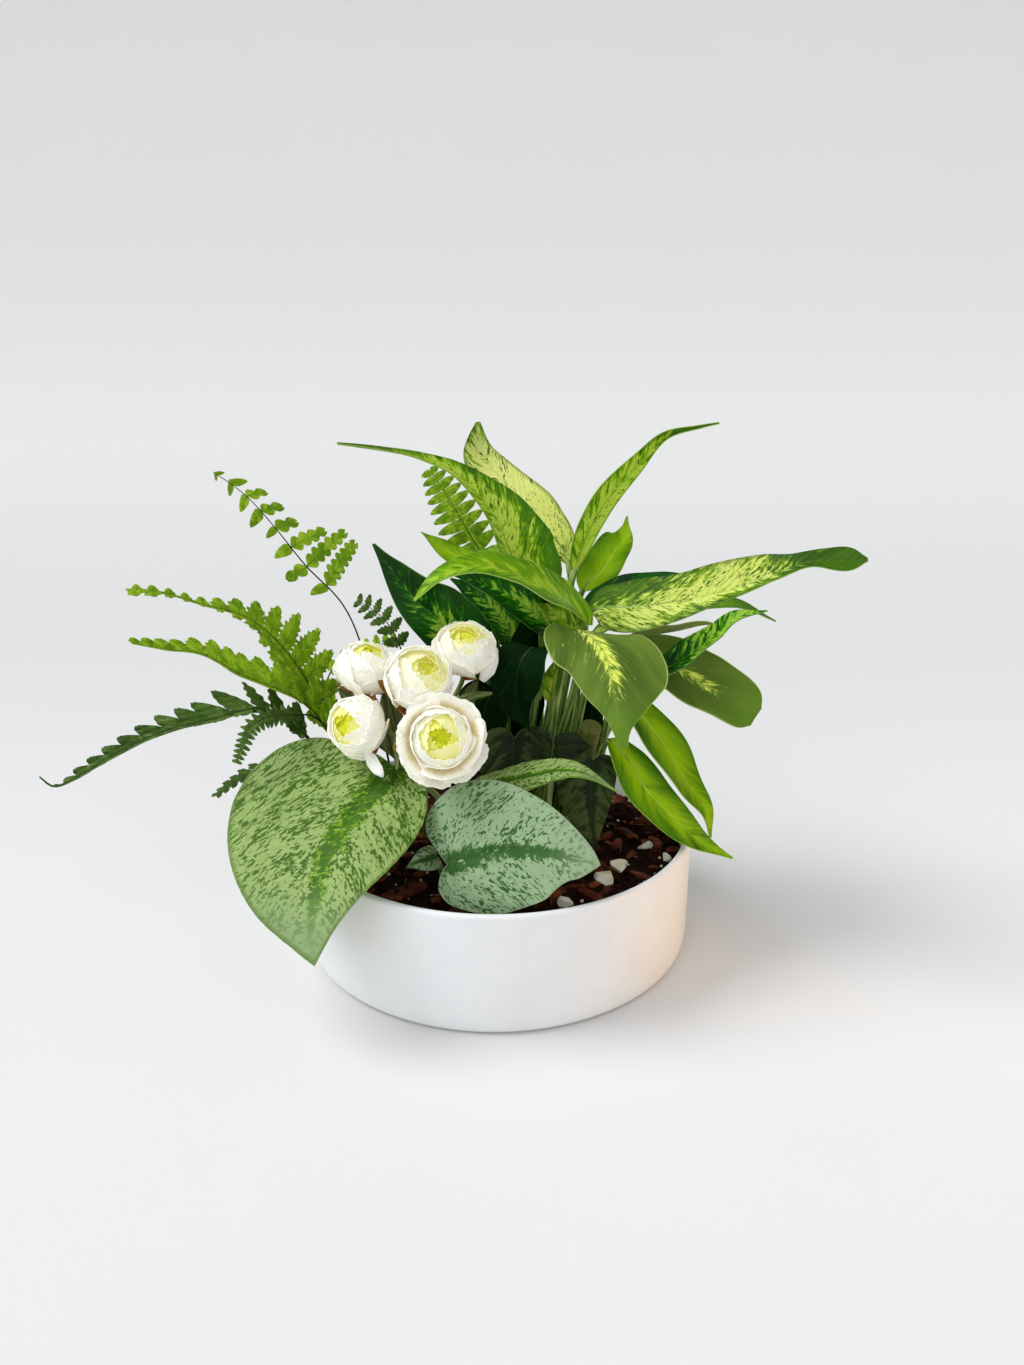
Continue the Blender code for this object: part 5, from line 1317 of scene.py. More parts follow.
PALE_SATIN = LeafFinish("satin_pale", Slot.SATIN_PALE, "#264e08", "#3f6e10", "#80a810", "#88a256", "#9bb16c",
                        "#3c6214", "#8a9a68", "#5c7836", "#35601a", roughness=0.55, patch_mm=3.0, stretch=0.85,
                        fleck_mm=1.8, fleck_share=0.56, edge=0.05, vein_mm=7.0, hem=0.7, rib_mm=0.8, tip="#86a070",
                        tip_share=0.85, halo_mm=16.0)
SILVER_SATIN = LeafFinish("satin_silver", Slot.SATIN_SILVER, "#264c20", "#356028", "#587e44", "#88a278", "#98b28a",
                          "#365e2c", "#84967c", "#8aa07c", "#305828", roughness=0.5, patch_mm=2.8, stretch=0.9,
                          fleck_mm=1.6, fleck_share=0.48, edge=0.05, halo_width=0.25, vein_mm=7.0, hem=0.6,
                          rib_mm=0.8, tip="#92a884", tip_share=0.6, halo_mm=20.0)
# Near-black greens: painted shade for the pothos leaves that sit deep in the shade under the canopy.
DARK_SATIN = LeafFinish("satin_dark", Slot.SATIN_DARK, "#101e04", "#1a2a08", "#2c3e12", "#3c4c20", "#465428",
                        "#122008", "#3f4f2a", "#3f5522", "#22380c", roughness=0.5, patch_mm=5.0, stretch=0.5,
                        fleck_mm=2.6, edge=0.2, halo_width=0.2, vein_mm=7.0, rib_mm=0.6)
POTHOS_STALK = StalkFinish("pothos_stalk", "#7f9a5c", "#a9bd84", roughness=0.45)


@dataclass(frozen=True)
class PothosLeaf:
    """A heart-shaped satin pothos leaf on its leafstalk.

    Lobes are how far the two lobes reach behind the leafstalk. Zone is the half width of the dark ground along
    the midrib at its widest, middle the share of silver on it and cover the share outside it on the left and the
    right. Bow is how far the midrib bends to the right.
    """

    number: int
    finish: LeafFinish
    root: Pair
    bends: Sequence[Spot]
    spine: Sequence[Spot]
    halves: Pair
    facing: Spot
    fold: float = 0.12
    cup: float = 3
    lobes: Pair = (9, 9)
    outlines: tuple[Sequence[Pair], Sequence[Pair]] = (HEART_HALF, HEART_HALF)
    ribs: Sequence[float] = (0.03, 0.14, 0.3)
    zone: float = 7.0
    cover: Pair = (0.92, 0.92)
    middle: float = 0.02
    bow: float = 0.0
    around: int = 120
    rings: int = 36
    thick: float = 0.7
    pucker_mm: float = 9.0
    stalk_radii: Pair = (1.9, 1.1)
    stalk_stops: int = 30
    rib_stops: int = 20

    def outline(self, length: float) -> Array:
        """The edge, from the tip down the right side and back up the left.

        Args:
            length: The midrib's length.

        Returns:
            How far ahead of the leafstalk and how far across each place is.
        """
        edge = []
        steps = self.around // 2
        for sign, k in ((1, 1), (-1, 0)):
            lobe, half = self.lobes[k], sign * self.halves[k]
            keys = [(a * (length if a > 0 else lobe), w * half, 0) for a, w in self.outlines[k]]
            curve = Line([*keys, (-SINUS_DEPTH, 0, 0)])
            points = curve.at(np.linspace(0, curve.length, steps + 1))[0]
            edge += list(points[:-1]) if sign > 0 else list(points[:0:-1])
        return np.array(edge)[:, :2]

    def spots(self, line: Line, ahead: Array, wide: Array) -> tuple[Array, Array]:
        """Bends flat places to the blade's middle surface.

        Args:
            line: The midrib.
            ahead: How far ahead of the leafstalk each place is.
            wide: How far across.

        Returns:
            The points, and the way that the face looks at each.
        """
        first = unit(line.path[1] - line.path[0])
        side = squared(self.facing, unit(line.path[-1] - line.path[0]))[1]
        points, ways = line.at(np.maximum(0, ahead))
        faces = unit(np.cross(np.broadcast_to(side, ways.shape), ways))
        half = np.where(wide < 0, self.halves[0], self.halves[1])
        lift = np.abs(wide) * self.fold - self.cup * (wide / half) ** 2
        return points + first * np.minimum(0, ahead)[:, None] + side * wide[:, None] + faces * lift[:, None], faces

    def build(self, skins: Sequence[Skin], stalk_skin: Skin) -> None:
        """Builds the leaf and settles it on its node.

        Args:
            skins: The blade's face, underside and edge.
            stalk_skin: The leafstalk's skin.
        """
        line = Line(self.spine)
        blade, u, v = add_grid("blade", self.around, self.rings)
        edge = self.outline(line.length)
        turn = np.rint((u + 1) / 2 * self.around).astype(int) % self.around
        ahead, wide = edge[turn, 0] * v, edge[turn, 1] * v
        points, faces = self.spots(line, ahead, wide)
        far = np.hypot(ahead, wide)
        half = np.where(wide < 0, self.halves[0], self.halves[1])
        share = np.abs(wide) / half
        across = wide - self.bow * np.sin(math.pi * np.clip(ahead / line.length, 0, 1))
        forward = ahead - half * (0.35 * share + 0.55 * share**2)
        vein = np.where(forward > 0, forward, 24 * forward / (far + 5))
        dip = 0.5 * np.exp(-((across / 2.2) ** 2)) * smoothstep(-4, 6, ahead)
        pucker = 0.16 * np.cos(vein * 2 * math.pi / self.pucker_mm) * smoothstep(2, 10, np.abs(across))
        sway = 0.9 * v**3 * np.sin(3 * math.pi * u + self.number)
        place_points(blade, points + faces * (pucker + sway - dip)[:, None])
        zone = self.zone * np.clip(1.05 - ahead / line.length, 0.15, 1)
        away = np.where(ahead > 0, np.abs(across), far)
        silver = np.where(across < 0, self.cover[0], self.cover[1])
        cover = self.middle + (silver - self.middle) * smoothstep(0.2, 1.6, away / zone)
        mark_pattern(blade, (v, np.clip(ahead / line.length, 0, 1), wide / half),
                     (across, vein, self.number * PATTERN_STEP), cover)
        weld(blade)
        thicken(blade, self.thick, skins)
        ends, ways = line.at(np.array(self.ribs) * line.length)
        drop = squared(self.facing, ways)[0] * (self.thick / 2 + 1.4)
        stem = Line([*stem_start(self.root), *self.bends, *(ends - drop)])
        stops = np.linspace(0, stem.length, self.stalk_stops)
        radii = np.linspace(*self.stalk_radii, self.stalk_stops)
        stalk = add_tube("stalk", stem, stops, radii, stalk_skin, TOWARDS_VIEWER)
        shares = np.linspace(0.02, 0.9, self.rib_stops)
        rib = add_tube("rib", line, shares * line.length, 1.0 - 0.75 * shares, stalk_skin, self.facing,
                       1.6 - 0.8 * shares)
        leaf = join([blade, stalk, rib], f"satin_pothos_leaf_{self.number}")
        settle(leaf, [f"pothos_leaf_{self.number}"])


POTHOS_LEAVES = (
    PothosLeaf(1, PALE_SATIN, (-14, -34), ((-30, -30, 88),),
               ((-50, -34, 103), (-57, -54, 96), (-69, -84, 82), (-76, -104, 62), (-78, -112, 44)), (27, 81),
               (-0.35, -0.7, 0.62), fold=0.03, cup=7, lobes=(10, 21.5), outlines=(SLIM_HALF, FULL_HALF), zone=11.5,
               cover=(0.78, 0.98), middle=0.22, bow=7, around=180, rings=60),
    PothosLeaf(2, SILVER_SATIN, (-10, -52), ((-18, -64, 64),),
               ((-20, -72, 72), (5, -79, 82), (27, -85, 84), (47, -90, 81)), (38, 27), (-0.1, -0.85, 0.5),
               fold=0.03, cup=4, lobes=(14, 8), outlines=(UPPER_HALF, LOWER_HALF), zone=7, cover=(0.97, 0.95),
               middle=0.15, around=160, rings=50),
    PothosLeaf(3, PALE_SATIN, (0, -22), ((-8, -28, 80),),
               ((-9, -34, 93), (17, -42, 103), (38, -48, 108), (58, -58, 102)), (14, 14), (0, -0.2, 1), cup=2,
               lobes=(6, 6), zone=4),
    PothosLeaf(4, DARK_SATIN, (34, -10), ((44, -11, 84),),
               ((49, -17, 98), (48, -21, 86), (48, -26, 72), (50, -31, 57)), (12, 18), (0, -0.95, 0.3), cup=2,
               lobes=(5, 6), ribs=(0.03,), zone=4, cover=(0.6, 0.6)),
    PothosLeaf(5, DARK_SATIN, (26, -16), ((28, -17, 88),), ((32, -18, 108), (40, -20, 110), (48, -22, 110)),
               (7, 7), (0, -0.95, 0.3), cup=1, lobes=(3, 3), zone=30, cover=(0.1, 0.1), around=72, rings=20),
    PothosLeaf(6, SILVER_SATIN, (-26, -46), (), ((-29, -54, 66), (-35, -58, 66), (-42, -61, 64)), (6, 6),
               (-0.1, -0.85, 0.5), cup=1, lobes=(2, 2), zone=2, around=72, rings=20),
    PothosLeaf(7, DARK_SATIN, (4, -4), ((8, 0, 84),), ((9, -1, 104), (8, -6, 92), (8, -11, 78), (10, -15, 66)),
               (20, 18), (0, -0.95, 0.3), cup=2, lobes=(8, 8), ribs=(0.03,), zone=5, cover=(0.5, 0.5)),
)


@dataclass
class SatinPothos:
    """The satin pothos in front: leaves whose silver comes from air under the skin, so they shine softly."""

    leaves: Sequence[PothosLeaf] = POTHOS_LEAVES

    def build(self) -> None:
        """Builds the leaves."""
        stalk = POTHOS_STALK.skin()
        skins = {finish.name: finish.skins() for finish in (PALE_SATIN, SILVER_SATIN, DARK_SATIN)}
        for leaf in self.leaves:
            leaf.build(skins[leaf.finish.name], stalk)


# Fern


class Lobes(Enum):
    """How a leaflet's edge is cut."""

    ROUNDED = "rounded"
    TOOTHED = "toothed"
    PLAIN = "plain"


FERN_GREEN = LeafFinish("fern_blade", Slot.FERN, "#527c04", "#84ae10", "#98bc24", "#9cbe2c", "#acc83c", "#4e7a06",
                        "#7a9440", "#4c6a18", "#557a14", roughness=0.55, patch_mm=5.0, stretch=0.5, fleck_mm=2.4,
                        fleck_share=0.0, edge=0.3, halo_width=0.5, vein_mm=1.6, rib_mm=0.5)
# Darker greens for the fronds in shade at the back: painted shade.
FERN_SHADE = LeafFinish("fern_shade", Slot.FERN, "#223e0c", "#40601a", "#587630", "#7a9250", "#8aa060", "#34541a",
                        "#607840", "#3c5222", "#3f5c1c", roughness=0.55, patch_mm=5.0, stretch=0.5, fleck_mm=2.4,
                        fleck_share=0.0, edge=0.3, halo_width=0.5, vein_mm=1.6, rib_mm=0.5)
RACHIS = StalkFinish("fern_rachis", "#1c100c", "#3c3018", roughness=0.5)


@dataclass(frozen=True)
class Frond:
    """A fern frond: its table, and how its midrib and leaflets are made.

    Lengths is (left, right), each a list of leaflet lengths from base to tip. Raised is how far the leaflets fold
    up from flat, fall how far their ends hang down, web half the width of the wing along the midrib, and tip_lean
    what the last leaflets lean more than the first. Leaflets shorter than plain_below have a plain edge, and none
    has half its width above slim times its length.
    """

    number: int
    finish: LeafFinish
    root: Pair
    bends: Sequence[Spot]
    spine: Sequence[Spot]
    facing: Spot
    pairs: int
    lengths: tuple[Sequence[float], Sequence[float]]
    lean: float = 0.35
    raised: float = 0.0
    foot: float = 0.8
    cut: Lobes = Lobes.TOOTHED
    fullness: float = 1.15
    droop: float = 0.1
    depth: float = 0.3
    lobe_mm: float = 2.3
    shortest: float = 1.6
    fall: float = 0.0
    web: float = 0.0
    tip_lean: float = 0.0
    plain_below: float = 0.0
    slim: float = 1.0
    thick: float = 0.35
    radii: Pair = (0.8, 0.42)
    stops: int = 60

    def build(self, skins: Sequence[Skin], rachis_skin: Skin) -> None:
        """Builds the frond and settles it on its node.

        Args:
            skins: The leaflets' face, underside and edge.
            rachis_skin: The midrib's skin.
        """
        line = Line([*stem_start(self.root), *self.bends, *self.spine])
        start = line.near(self.spine[0])
        stops = np.linspace(0, line.length, self.stops)
        first, last = self.radii
        radii = first + (last - first) * np.minimum(1, stops / start) - 0.2 * smoothstep(start, line.length, stops)
        parts = [add_tube("rachis", line, stops, radii, rachis_skin, self.facing, 0.0, 8)]
        if self.web:
            parts.append(self.wing(line, start, skins))
        gaps = np.linspace(1.25, 0.7, self.pairs)
        bounds = np.concatenate([[0], np.cumsum(gaps) / gaps.sum()])
        whole = line.length - start
        for pair in range(self.pairs):
            step = gaps[pair] / gaps.sum() * whole
            middle = bounds[pair + 1] - self.foot / 2 * (bounds[pair + 1] - bounds[pair])
            for sign, sizes in ((1, self.lengths[1]), (-1, self.lengths[0])):
                long = float(np.interp((pair + 0.5) / self.pairs, np.linspace(0, 1, len(sizes)), sizes))
                if long >= self.shortest:
                    parts.append(self.leaflet(line, start + middle * whole, sign, long, step, pair, skins))
        frond = join(parts, f"fern_blade_{self.number}")
        settle(frond, [f"fern_frond_{self.number}"])

    def wing(self, line: Line, start: float, skins: Sequence[Skin]) -> Piece:
        """The narrow blade along the midrib, where the leaflets run together.

        Args:
            line: The line from the root to the frond's tip.
            start: Where the blade starts on it.
            skins: The leaflets' face, underside and edge.

        Returns:
            The wing.
        """
        sheet, u, v = add_grid("wing", 6, 60)
        points, ways = line.at(start + v * (line.length - start))
        faces, sides = squared(self.facing, ways)
        shape = np.interp(v, (0, 0.1, 0.6, 1), (0.4, 1, 0.85, 0.15))
        reach = self.web * shape * (1 + 0.12 * np.sin(40 * v + 2 * u))
        place_points(sheet, points + sides * (u * reach)[:, None] + faces * (0.25 * reach * np.abs(u))[:, None])
        vein = (u * reach, v * line.length - np.abs(u * reach), self.number * FERN_PATTERN_STEP)
        mark_pattern(sheet, (u, v, 0), vein, FERN_COVER)
        return thicken(sheet, self.thick, skins)

    def leaflet(self, line: Line, stop: float, sign: int, long: float, step: float, pair: int,
                skins: Sequence[Skin]) -> Piece:
        """One leaflet, with its edge cut to lobes or teeth.

        Args:
            line: The frond's midrib.
            stop: Where the leaflet grows from it.
            sign: 1 for the right side and -1 for the left.
            long: Its length.
            step: The room between this leaflet and the next.
            pair: Its number, for its own curl.
            skins: The leaf's materials.

        Returns:
            The leaflet.
        """
        lobes = max(2, round(long / self.lobe_mm))
        sheet, u, v = add_grid("leaflet", 4, min(36, 4 * lobes))
        point, way = line.at(np.array([stop]))
        face, side = squared(self.facing, way)
        point, way, face, side = point[0], way[0], face[0], side[0] * sign
        lean = self.lean + self.tip_lean * (pair + 0.5) / self.pairs
        out = unit(side * math.cos(self.raised) + face * math.sin(self.raised) + way * lean)
        cut = Lobes.PLAIN if long < self.plain_below else self.cut
        up = unit(face * math.cos(self.raised) - side * math.sin(self.raised))
        half = max(0.7, min(step / 2 * self.fullness, self.slim * long))
        body = np.interp(v, (0, 0.12, 0.45, 0.8, 1), (0.7, 1.0, 0.92, 0.55, 0.12))
        t = np.abs(u)
        if cut is Lobes.ROUNDED:
            scallop = np.abs(np.sin(math.pi * lobes * v)) ** 0.7
            body = np.interp(v, (0, 0.15, 0.5, 0.85, 1), (0.75, 1.05, 0.95, 0.75, 0.4))
            body = body * (1 - self.depth + self.depth * scallop)
        elif cut is Lobes.TOOTHED:
            tooth = (v * lobes) % 1
            body = body * (1 - self.depth + self.depth * np.where(tooth < 0.75, tooth / 0.75, (1 - tooth) / 0.25))
        curl = -self.droop * long * v * v + 0.12 * half * np.sin(math.pi * lobes * v) * t - 0.1 * half * t * t
        curl = curl + 0.05 * long * math.sin(pair * 2.4 + sign) * v * v
        along = way * (1.0 if sign < 0 else -1.0)
        shift = u * half * body
        spots = point + out * (long * (v + 0.06 * t))[:, None] + along * shift[:, None] + up * curl[:, None]
        spots[:, 2] -= self.fall * long * v**1.6
        place_points(sheet, spots)
        vein = (shift, long * v - 0.6 * np.abs(shift), pair * 3.7 + self.number * FERN_PATTERN_STEP)
        mark_pattern(sheet, (u, v, pair), vein, FERN_COVER)
        return thicken(sheet, self.thick, skins)


FRONDS = (
    Frond(1, FERN_GREEN, (-58, 38), ((-73, 42, 140),),
          ((-82, 36, 168), (-99, 30, 190), (-110, 24, 208), (-121, 17, 225), (-129, 12, 234), (-136, 8, 240)),
          (-0.2, -0.9, 0.3), 8, ((6, 12, 10, 6, 9, 7, 4, 1.7), (32, 34, 23, 12, 11, 10, 7, 2)), lean=0.45,
          foot=0.3, cut=Lobes.ROUNDED, fullness=0.68, droop=0.2, depth=0.5, lobe_mm=5, fall=0.25, tip_lean=-1.25,
          plain_below=9.5, slim=0.36),
    Frond(2, FERN_GREEN, (-64, 32), ((-84, 34, 84),),
          ((-94, 30, 100), (-98, 26, 121), (-108, 18, 145), (-119, 8, 163), (-128, 2, 171), (-144, -8, 179),
           (-157, -16, 186), (-171, -22, 190)), (-0.1, -0.6, 0.8), 14,
          ((6, 10, 14, 14, 8, 4, 2, 2, 5, 7), (10, 17, 22, 18, 11, 7, 4, 3, 3, 2)), lean=0.4, raised=0.5,
          fullness=1.35, depth=0.32, lobe_mm=2.8, web=1.6),
    Frond(3, FERN_GREEN, (-64, 23), ((-82, 22, 82),),
          ((-90, 22, 99), (-98, 14, 117), (-108, 2, 130), (-128, -5, 142), (-144, -10, 154), (-159, -16, 158),
           (-174, -22, 163)), (-0.1, -0.6, 0.8), 13, ((2.4, 2, 1.8, 1, 1, 1, 1), (17, 18, 15, 11, 8, 6, 3)),
          lean=0.9, raised=0.6, fullness=1.6, depth=0.25, lobe_mm=2.8, web=1.6),
    Frond(4, FERN_SHADE, (-60, 14), ((-86, 16, 80),),
          ((-100, 14, 100), (-111, 4, 115), (-122, -8, 124), (-140, -16, 122), (-161, -24, 119), (-178, -32, 113),
           (-192, -38, 106), (-202, -43, 101), (-210, -46, 99), (-215, -48, 105)), (-0.1, -0.6, 0.8), 15,
          ((8, 7, 5, 3, 2, 2, 2, 1, 1), (14, 18, 18, 13, 11, 9, 7, 2, 1)), lean=1.1, raised=0.6, cut=Lobes.PLAIN,
          fullness=1.1, web=2.2),
    Frond(5, FERN_SHADE, (-54, 8), ((-84, 18, 96), (-96, 12, 113)),
          ((-104, 1, 118), (-115, -14, 122), (-121, -21, 119), (-124, -26, 112), (-127, -29, 104)),
          (-0.2, -0.9, 0.3), 14, ((5, 5.6, 5, 4.2, 2.4), (5, 5.6, 5, 4.2, 2.4)), lean=0.2, fullness=0.85,
          cut=Lobes.PLAIN, web=2.6),
    Frond(6, FERN_SHADE, (-70, 44), ((-88, 34, 74),),
          ((-107, 20, 82), (-125, 10, 84), (-134, 0, 83), (-144, -10, 78)), (-0.1, -0.6, 0.8), 8,
          ((5, 4, 3, 2), (7, 8, 6, 3)), lean=0.9, fullness=1.5, web=1.2),
    Frond(7, FERN_GREEN, (-20, 60), ((-10, 82, 130),),
          ((-6, 90, 176), (-16, 94, 194), (-26, 98, 211), (-34, 101, 223), (-39, 103, 230)), (0, -0.95, 0.3), 10,
          ((15, 16, 14, 10, 5), (13, 13, 12, 9, 4)), lean=0.1, foot=0.5, cut=Lobes.PLAIN, fullness=0.98, web=2.2),
    Frond(8, FERN_GREEN, (-54, 50), ((-84, 44, 96),),
          ((-93, 44, 125), (-85, 50, 131), (-71, 56, 137), (-57, 62, 142)), (0, -0.8, 0.6), 7,
          ((7, 8, 7, 4), (5, 5, 4, 3)), fullness=0.9),
    Frond(9, FERN_SHADE, (-44, 56), ((-50, 52, 110),),
          ((-53, 50, 138), (-61, 54, 153), (-70, 58, 160), (-78, 60, 164)), (0, -0.8, 0.6), 6,
          ((7, 8, 7, 3), (7, 9, 8, 4)), fullness=0.9),
)


@dataclass
class Fern:
    """The fern at the left and the back: thin dry-textured leaflets on black-brown midribs."""

    fronds: Sequence[Frond] = FRONDS

    def build(self) -> None:
        """Builds the fronds."""
        rachis = RACHIS.skin()
        skins = {finish.name: finish.skins() for finish in (FERN_GREEN, FERN_SHADE)}
        for frond in self.fronds:
            frond.build(skins[frond.finish.name], rachis)


# Ranunculus


@dataclass(frozen=True)
class Petals:
    """One whorl of petals.

    Size is their reach as a share of the head's radius, top the angle of their rim from the head's axis in
    degrees, opened how far they spread, from 0 for a closed cup to 1 for a saucer, depth how far in they sit, for
    the dye, and wide how far each reaches round as a share of its place.
    """

    count: int
    size: float
    top: float
    opened: float
    depth: float
    wide: float = 1.3


OPEN_BLOOM = (Petals(5, 1.0, 92, 1.0, 0.0), Petals(5, 0.9, 77, 0.85, 0.0, wide=1.25),
              Petals(3, 0.7, 60, 0.12, 0.0, wide=1.2), Petals(3, 0.66, 46, 0.0, 0.06, wide=1.2),
              Petals(3, 0.61, 36, 0.0, 0.2, wide=1.2), Petals(3, 0.56, 27, 0.0, 0.36, wide=1.2),
              Petals(3, 0.5, 19, 0.0, 0.62), Petals(3, 0.44, 11, 0.0, 0.86))
CUPPED_BLOOM = (Petals(4, 1.0, 84, 0.3, 0.0, wide=1.2), Petals(4, 0.96, 60, 0.1, 0.0, wide=1.2),
                Petals(4, 0.91, 46, 0.0, 0.05, wide=1.2), Petals(3, 0.85, 35, 0.0, 0.18, wide=1.25),
                Petals(3, 0.78, 26, 0.0, 0.32, wide=1.25), Petals(3, 0.71, 18, 0.0, 0.42, wide=1.25),
                Petals(3, 0.63, 10, 0.0, 0.6))
BUD = (Petals(4, 1.02, 84, 0.3, 0.0, wide=1.2), Petals(3, 0.99, 50, 0.05, 0.0), Petals(3, 0.945, 36, 0.0, 0.03),
       Petals(3, 0.89, 24, 0.0, 0.12), Petals(3, 0.83, 15, 0.0, 0.55), Petals(3, 0.77, 8, 0.0, 0.75))


@dataclass(frozen=True)
class Head:
    """A ranunculus head: whorls of cupped petals round a lime-green heart.

    Opening is how many degrees further than their table its inner petals open, and foot the angle from the axis at
    which the petals start, in degrees.
    """

    number: int
    centre: Spot
    axis: Spot
    radius: float
    whorls: Sequence[Petals]
    scraps: Sequence[tuple[Sequence[Spot], float, Spot]] = ()
    opening: float = 0.0
    columns: int = 26
    rows: int = 16
    foot: float = 158.0
    thick: float = 0.35
    sepals: int = 5
    sepal_thick: float = 0.4

    def build(self, silk: Skin, sepal_skin: Skin) -> None:
        """Builds the head and settles it on its node.

        Args:
            silk: The petals' skin.
            sepal_skin: The sepals' skin.
        """
        parts = [self.heart(silk)]
        for level, whorl in enumerate(self.whorls):
            for k in range(whorl.count):
                turn = 0.3 * self.number + 0.7 * level + 2 * math.pi * k / whorl.count
                parts.append(self.petal(whorl, turn, level * 7 + k, silk))
        parts += [small_leaf("scrap", silk, *scrap, self.sepal_thick) for scrap in self.scraps]
        for k in range(self.sepals):
            parts.append(self.sepal(2 * math.pi * (k + 0.3 * self.number) / self.sepals, sepal_skin))
        settle(join(parts, f"ranunculus_head_{self.number}"), [f"flower_head_{self.number}"])

    @property
    def frame(self) -> tuple[Array, Array, Array]:
        """The ways to the head's right and front, and its axis."""
        axis = unit(np.array(self.axis))
        right = unit(np.cross(axis, (0.1, 0.2, -1.0)))
        return right, np.cross(axis, right), axis

    def at(self, reach: Array, polar: Array, turn: Array) -> Array:
        """Points round the head.

        Args:
            reach: How far each is from the centre.
            polar: Its angle from the axis.
            turn: Its angle about the axis.

        Returns:
            The points.
        """
        right, front, axis = self.frame
        spots = (right * (np.sin(polar) * np.cos(turn))[:, None] + front * (np.sin(polar) * np.sin(turn))[:, None]
                 + axis * np.cos(polar)[:, None])
        return np.array(self.centre) + spots * reach[:, None]

    def heart(self, skin: Skin) -> Piece:
        """The round bud inside the petals.

        Args:
            skin: The silk.

        Returns:
            The bud.
        """
        pick()
        bpy.ops.mesh.primitive_uv_sphere_add(segments=24, ring_count=14, radius=1)
        ball = bpy.context.object
        spots = read_points(ball)
        turn, polar = np.arctan2(spots[:, 1], spots[:, 0]), np.arccos(np.clip(spots[:, 2], -1, 1))
        inner = self.whorls[-1].size * 0.92
        lower = 0.45 + (inner - 0.45) * smoothstep(-0.2, 0.5, spots[:, 2])
        place_points(ball, self.at(self.radius * lower, polar, turn))
        mark_pattern(ball, (turn / math.pi, 0.9, self.whorls[-1].depth + 0.12), (0, 0, 0))
        ball.data.materials.append(skin)
        return ball

    def petal(self, whorl: Petals, turn: float, own: int, skin: Skin) -> Piece:
        """One cupped petal that wraps the head from its foot up.

        Args:
            whorl: The whorl that it belongs to.
            turn: Its place round the head.
            own: A number for its own creases.
            skin: The silk.

        Returns:
            The petal.
        """
        sheet, u, v = add_grid("petal", self.columns, self.rows)
        draws = random.Random(own * 17 + self.number * 131)
        lean, size = draws.uniform(-1, 1), whorl.size * draws.uniform(0.965, 1.03)
        half_angle = math.pi / whorl.count * whorl.wide
        torn = np.array([noise.noise(Vector((a * 9, own * 3.1, self.number))) for a in u])
        frill = 1 - 0.12 * u**4 - 0.035 * np.abs(np.sin(2.2 * math.pi * u + own)) + 0.05 * torn
        top = whorl.top + self.opening * (whorl.top < 70)
        polar = np.radians(self.foot + (top + 10 * lean * (top > 25) - self.foot) * v * frill)
        closed = 0.5 + 0.5 * np.sin(math.pi * np.minimum(0.5, 0.62 * v))
        saucer = 0.42 + 0.58 * v**0.9
        a = turn + 0.12 * lean + u * half_angle * (0.55 + 0.45 * np.sin(math.pi * np.minimum(1, 0.15 + 0.6 * v)))
        reach = closed + (saucer - closed) * whorl.opened
        waves = 0.045 * u + 0.014 * np.sin(6 * u + own) * v + (0.02 + 0.05 * whorl.opened) * lean * v * v
        waves = waves + 0.03 * torn * v**3 + 0.06 * smoothstep(0.86, 1.0, v)
        spots = self.at(self.radius * size * reach * (1 + waves), polar + 0.16 * u * u * v, a)
        place_points(sheet, spots)
        # Painted shade, in beige: inside the open petals below their rims, and at the feet of the petals, under
        # the rims of the whorl outside.
        painted_shade = 0.85 * whorl.opened * (1 - smoothstep(0.7, 1.0, v)) + 0.5 * (1 - smoothstep(0.5, 0.88, v))
        inward = whorl.depth + 0.1 * (1 - v) * (whorl.depth > 0)
        mark_pattern(sheet, (u + own, v, inward), (0, 0, 0), painted_shade)
        return thicken(sheet, self.thick, [skin])

    def sepal(self, turn: float, skin: Skin) -> Piece:
        """One small pointed sepal under the petals.

        Args:
            turn: Its place round the head.
            skin: The sepals' skin.

        Returns:
            The sepal.
        """
        sheet, u, v = add_grid("sepal", 6, 10)
        half = 0.34 * np.sin(math.pi * np.clip(0.12 + 0.86 * v, 0, 1)) ** 0.8
        polar = np.radians(165 - 58 * v)
        reach = self.radius * (0.62 + 0.5 * v)
        place_points(sheet, self.at(reach, polar, turn + u * half))
        mark_pattern(sheet, (u, v, 0), (u * 3, v * 8, turn))
        return thicken(sheet, self.sepal_thick, [skin])


def small_leaf(name: str, skin: Skin, spine: Sequence[Spot], half: float, facing: Spot, thick: float) -> Piece:
    """A thin pointed leaf or petal scrap along a spine.

    Args:
        name: The object's name.
        skin: Its material.
        spine: The points that it follows.
        half: Half its width, in mm.
        facing: The direction that it faces.
        thick: Its thickness, in mm.

    Returns:
        The leaf.
    """
    line = Line(spine)
    sheet, u, v = add_grid(name, 8, 24)
    points, ways = line.at(v * line.length)
    faces, sides = squared(facing, ways)
    reach = half * np.interp(v, (0, 0.33, 0.66, 0.9, 1), (0.45, 1.0, 0.85, 0.4, 0.1))
    lift = -0.25 * half * u * u + 0.25 * np.sin(9 * v + 2 * u)
    place_points(sheet, points + sides * (u * reach)[:, None] + faces * lift[:, None])
    mark_pattern(sheet, (u, v, 0), (u * reach, v * line.length, 0))
    return thicken(sheet, thick, [skin])


HEADS = (
    Head(1, (-15.5, -2, 153.5), (0.1, -0.35, 0.93), 15.7, CUPPED_BLOOM,
         scraps=(([(-7, -10, 140), (-3, -10, 147), (0.5, -6, 156)], 3.5, (0.2, -0.9, 0.4)),), opening=7),
    Head(2, (-65, -4, 143), (0.25, -0.1, 0.97), 15.2, BUD, opening=-4),
    Head(3, (-37, -27, 146), (0.42, -0.5, 0.76), 17, CUPPED_BLOOM),
    Head(4, (-66, -30, 124), (-0.5, -0.78, 0.36), 14.5, BUD,
         scraps=(([(-62, -37, 114), (-57, -46, 110), (-52, -56, 109)], 3, (0, -0.9, 0.4)),)),
    Head(5, (-24.4, -58, 128.2), (0.08, -0.9, 0.42), 20.5, OPEN_BLOOM),
)


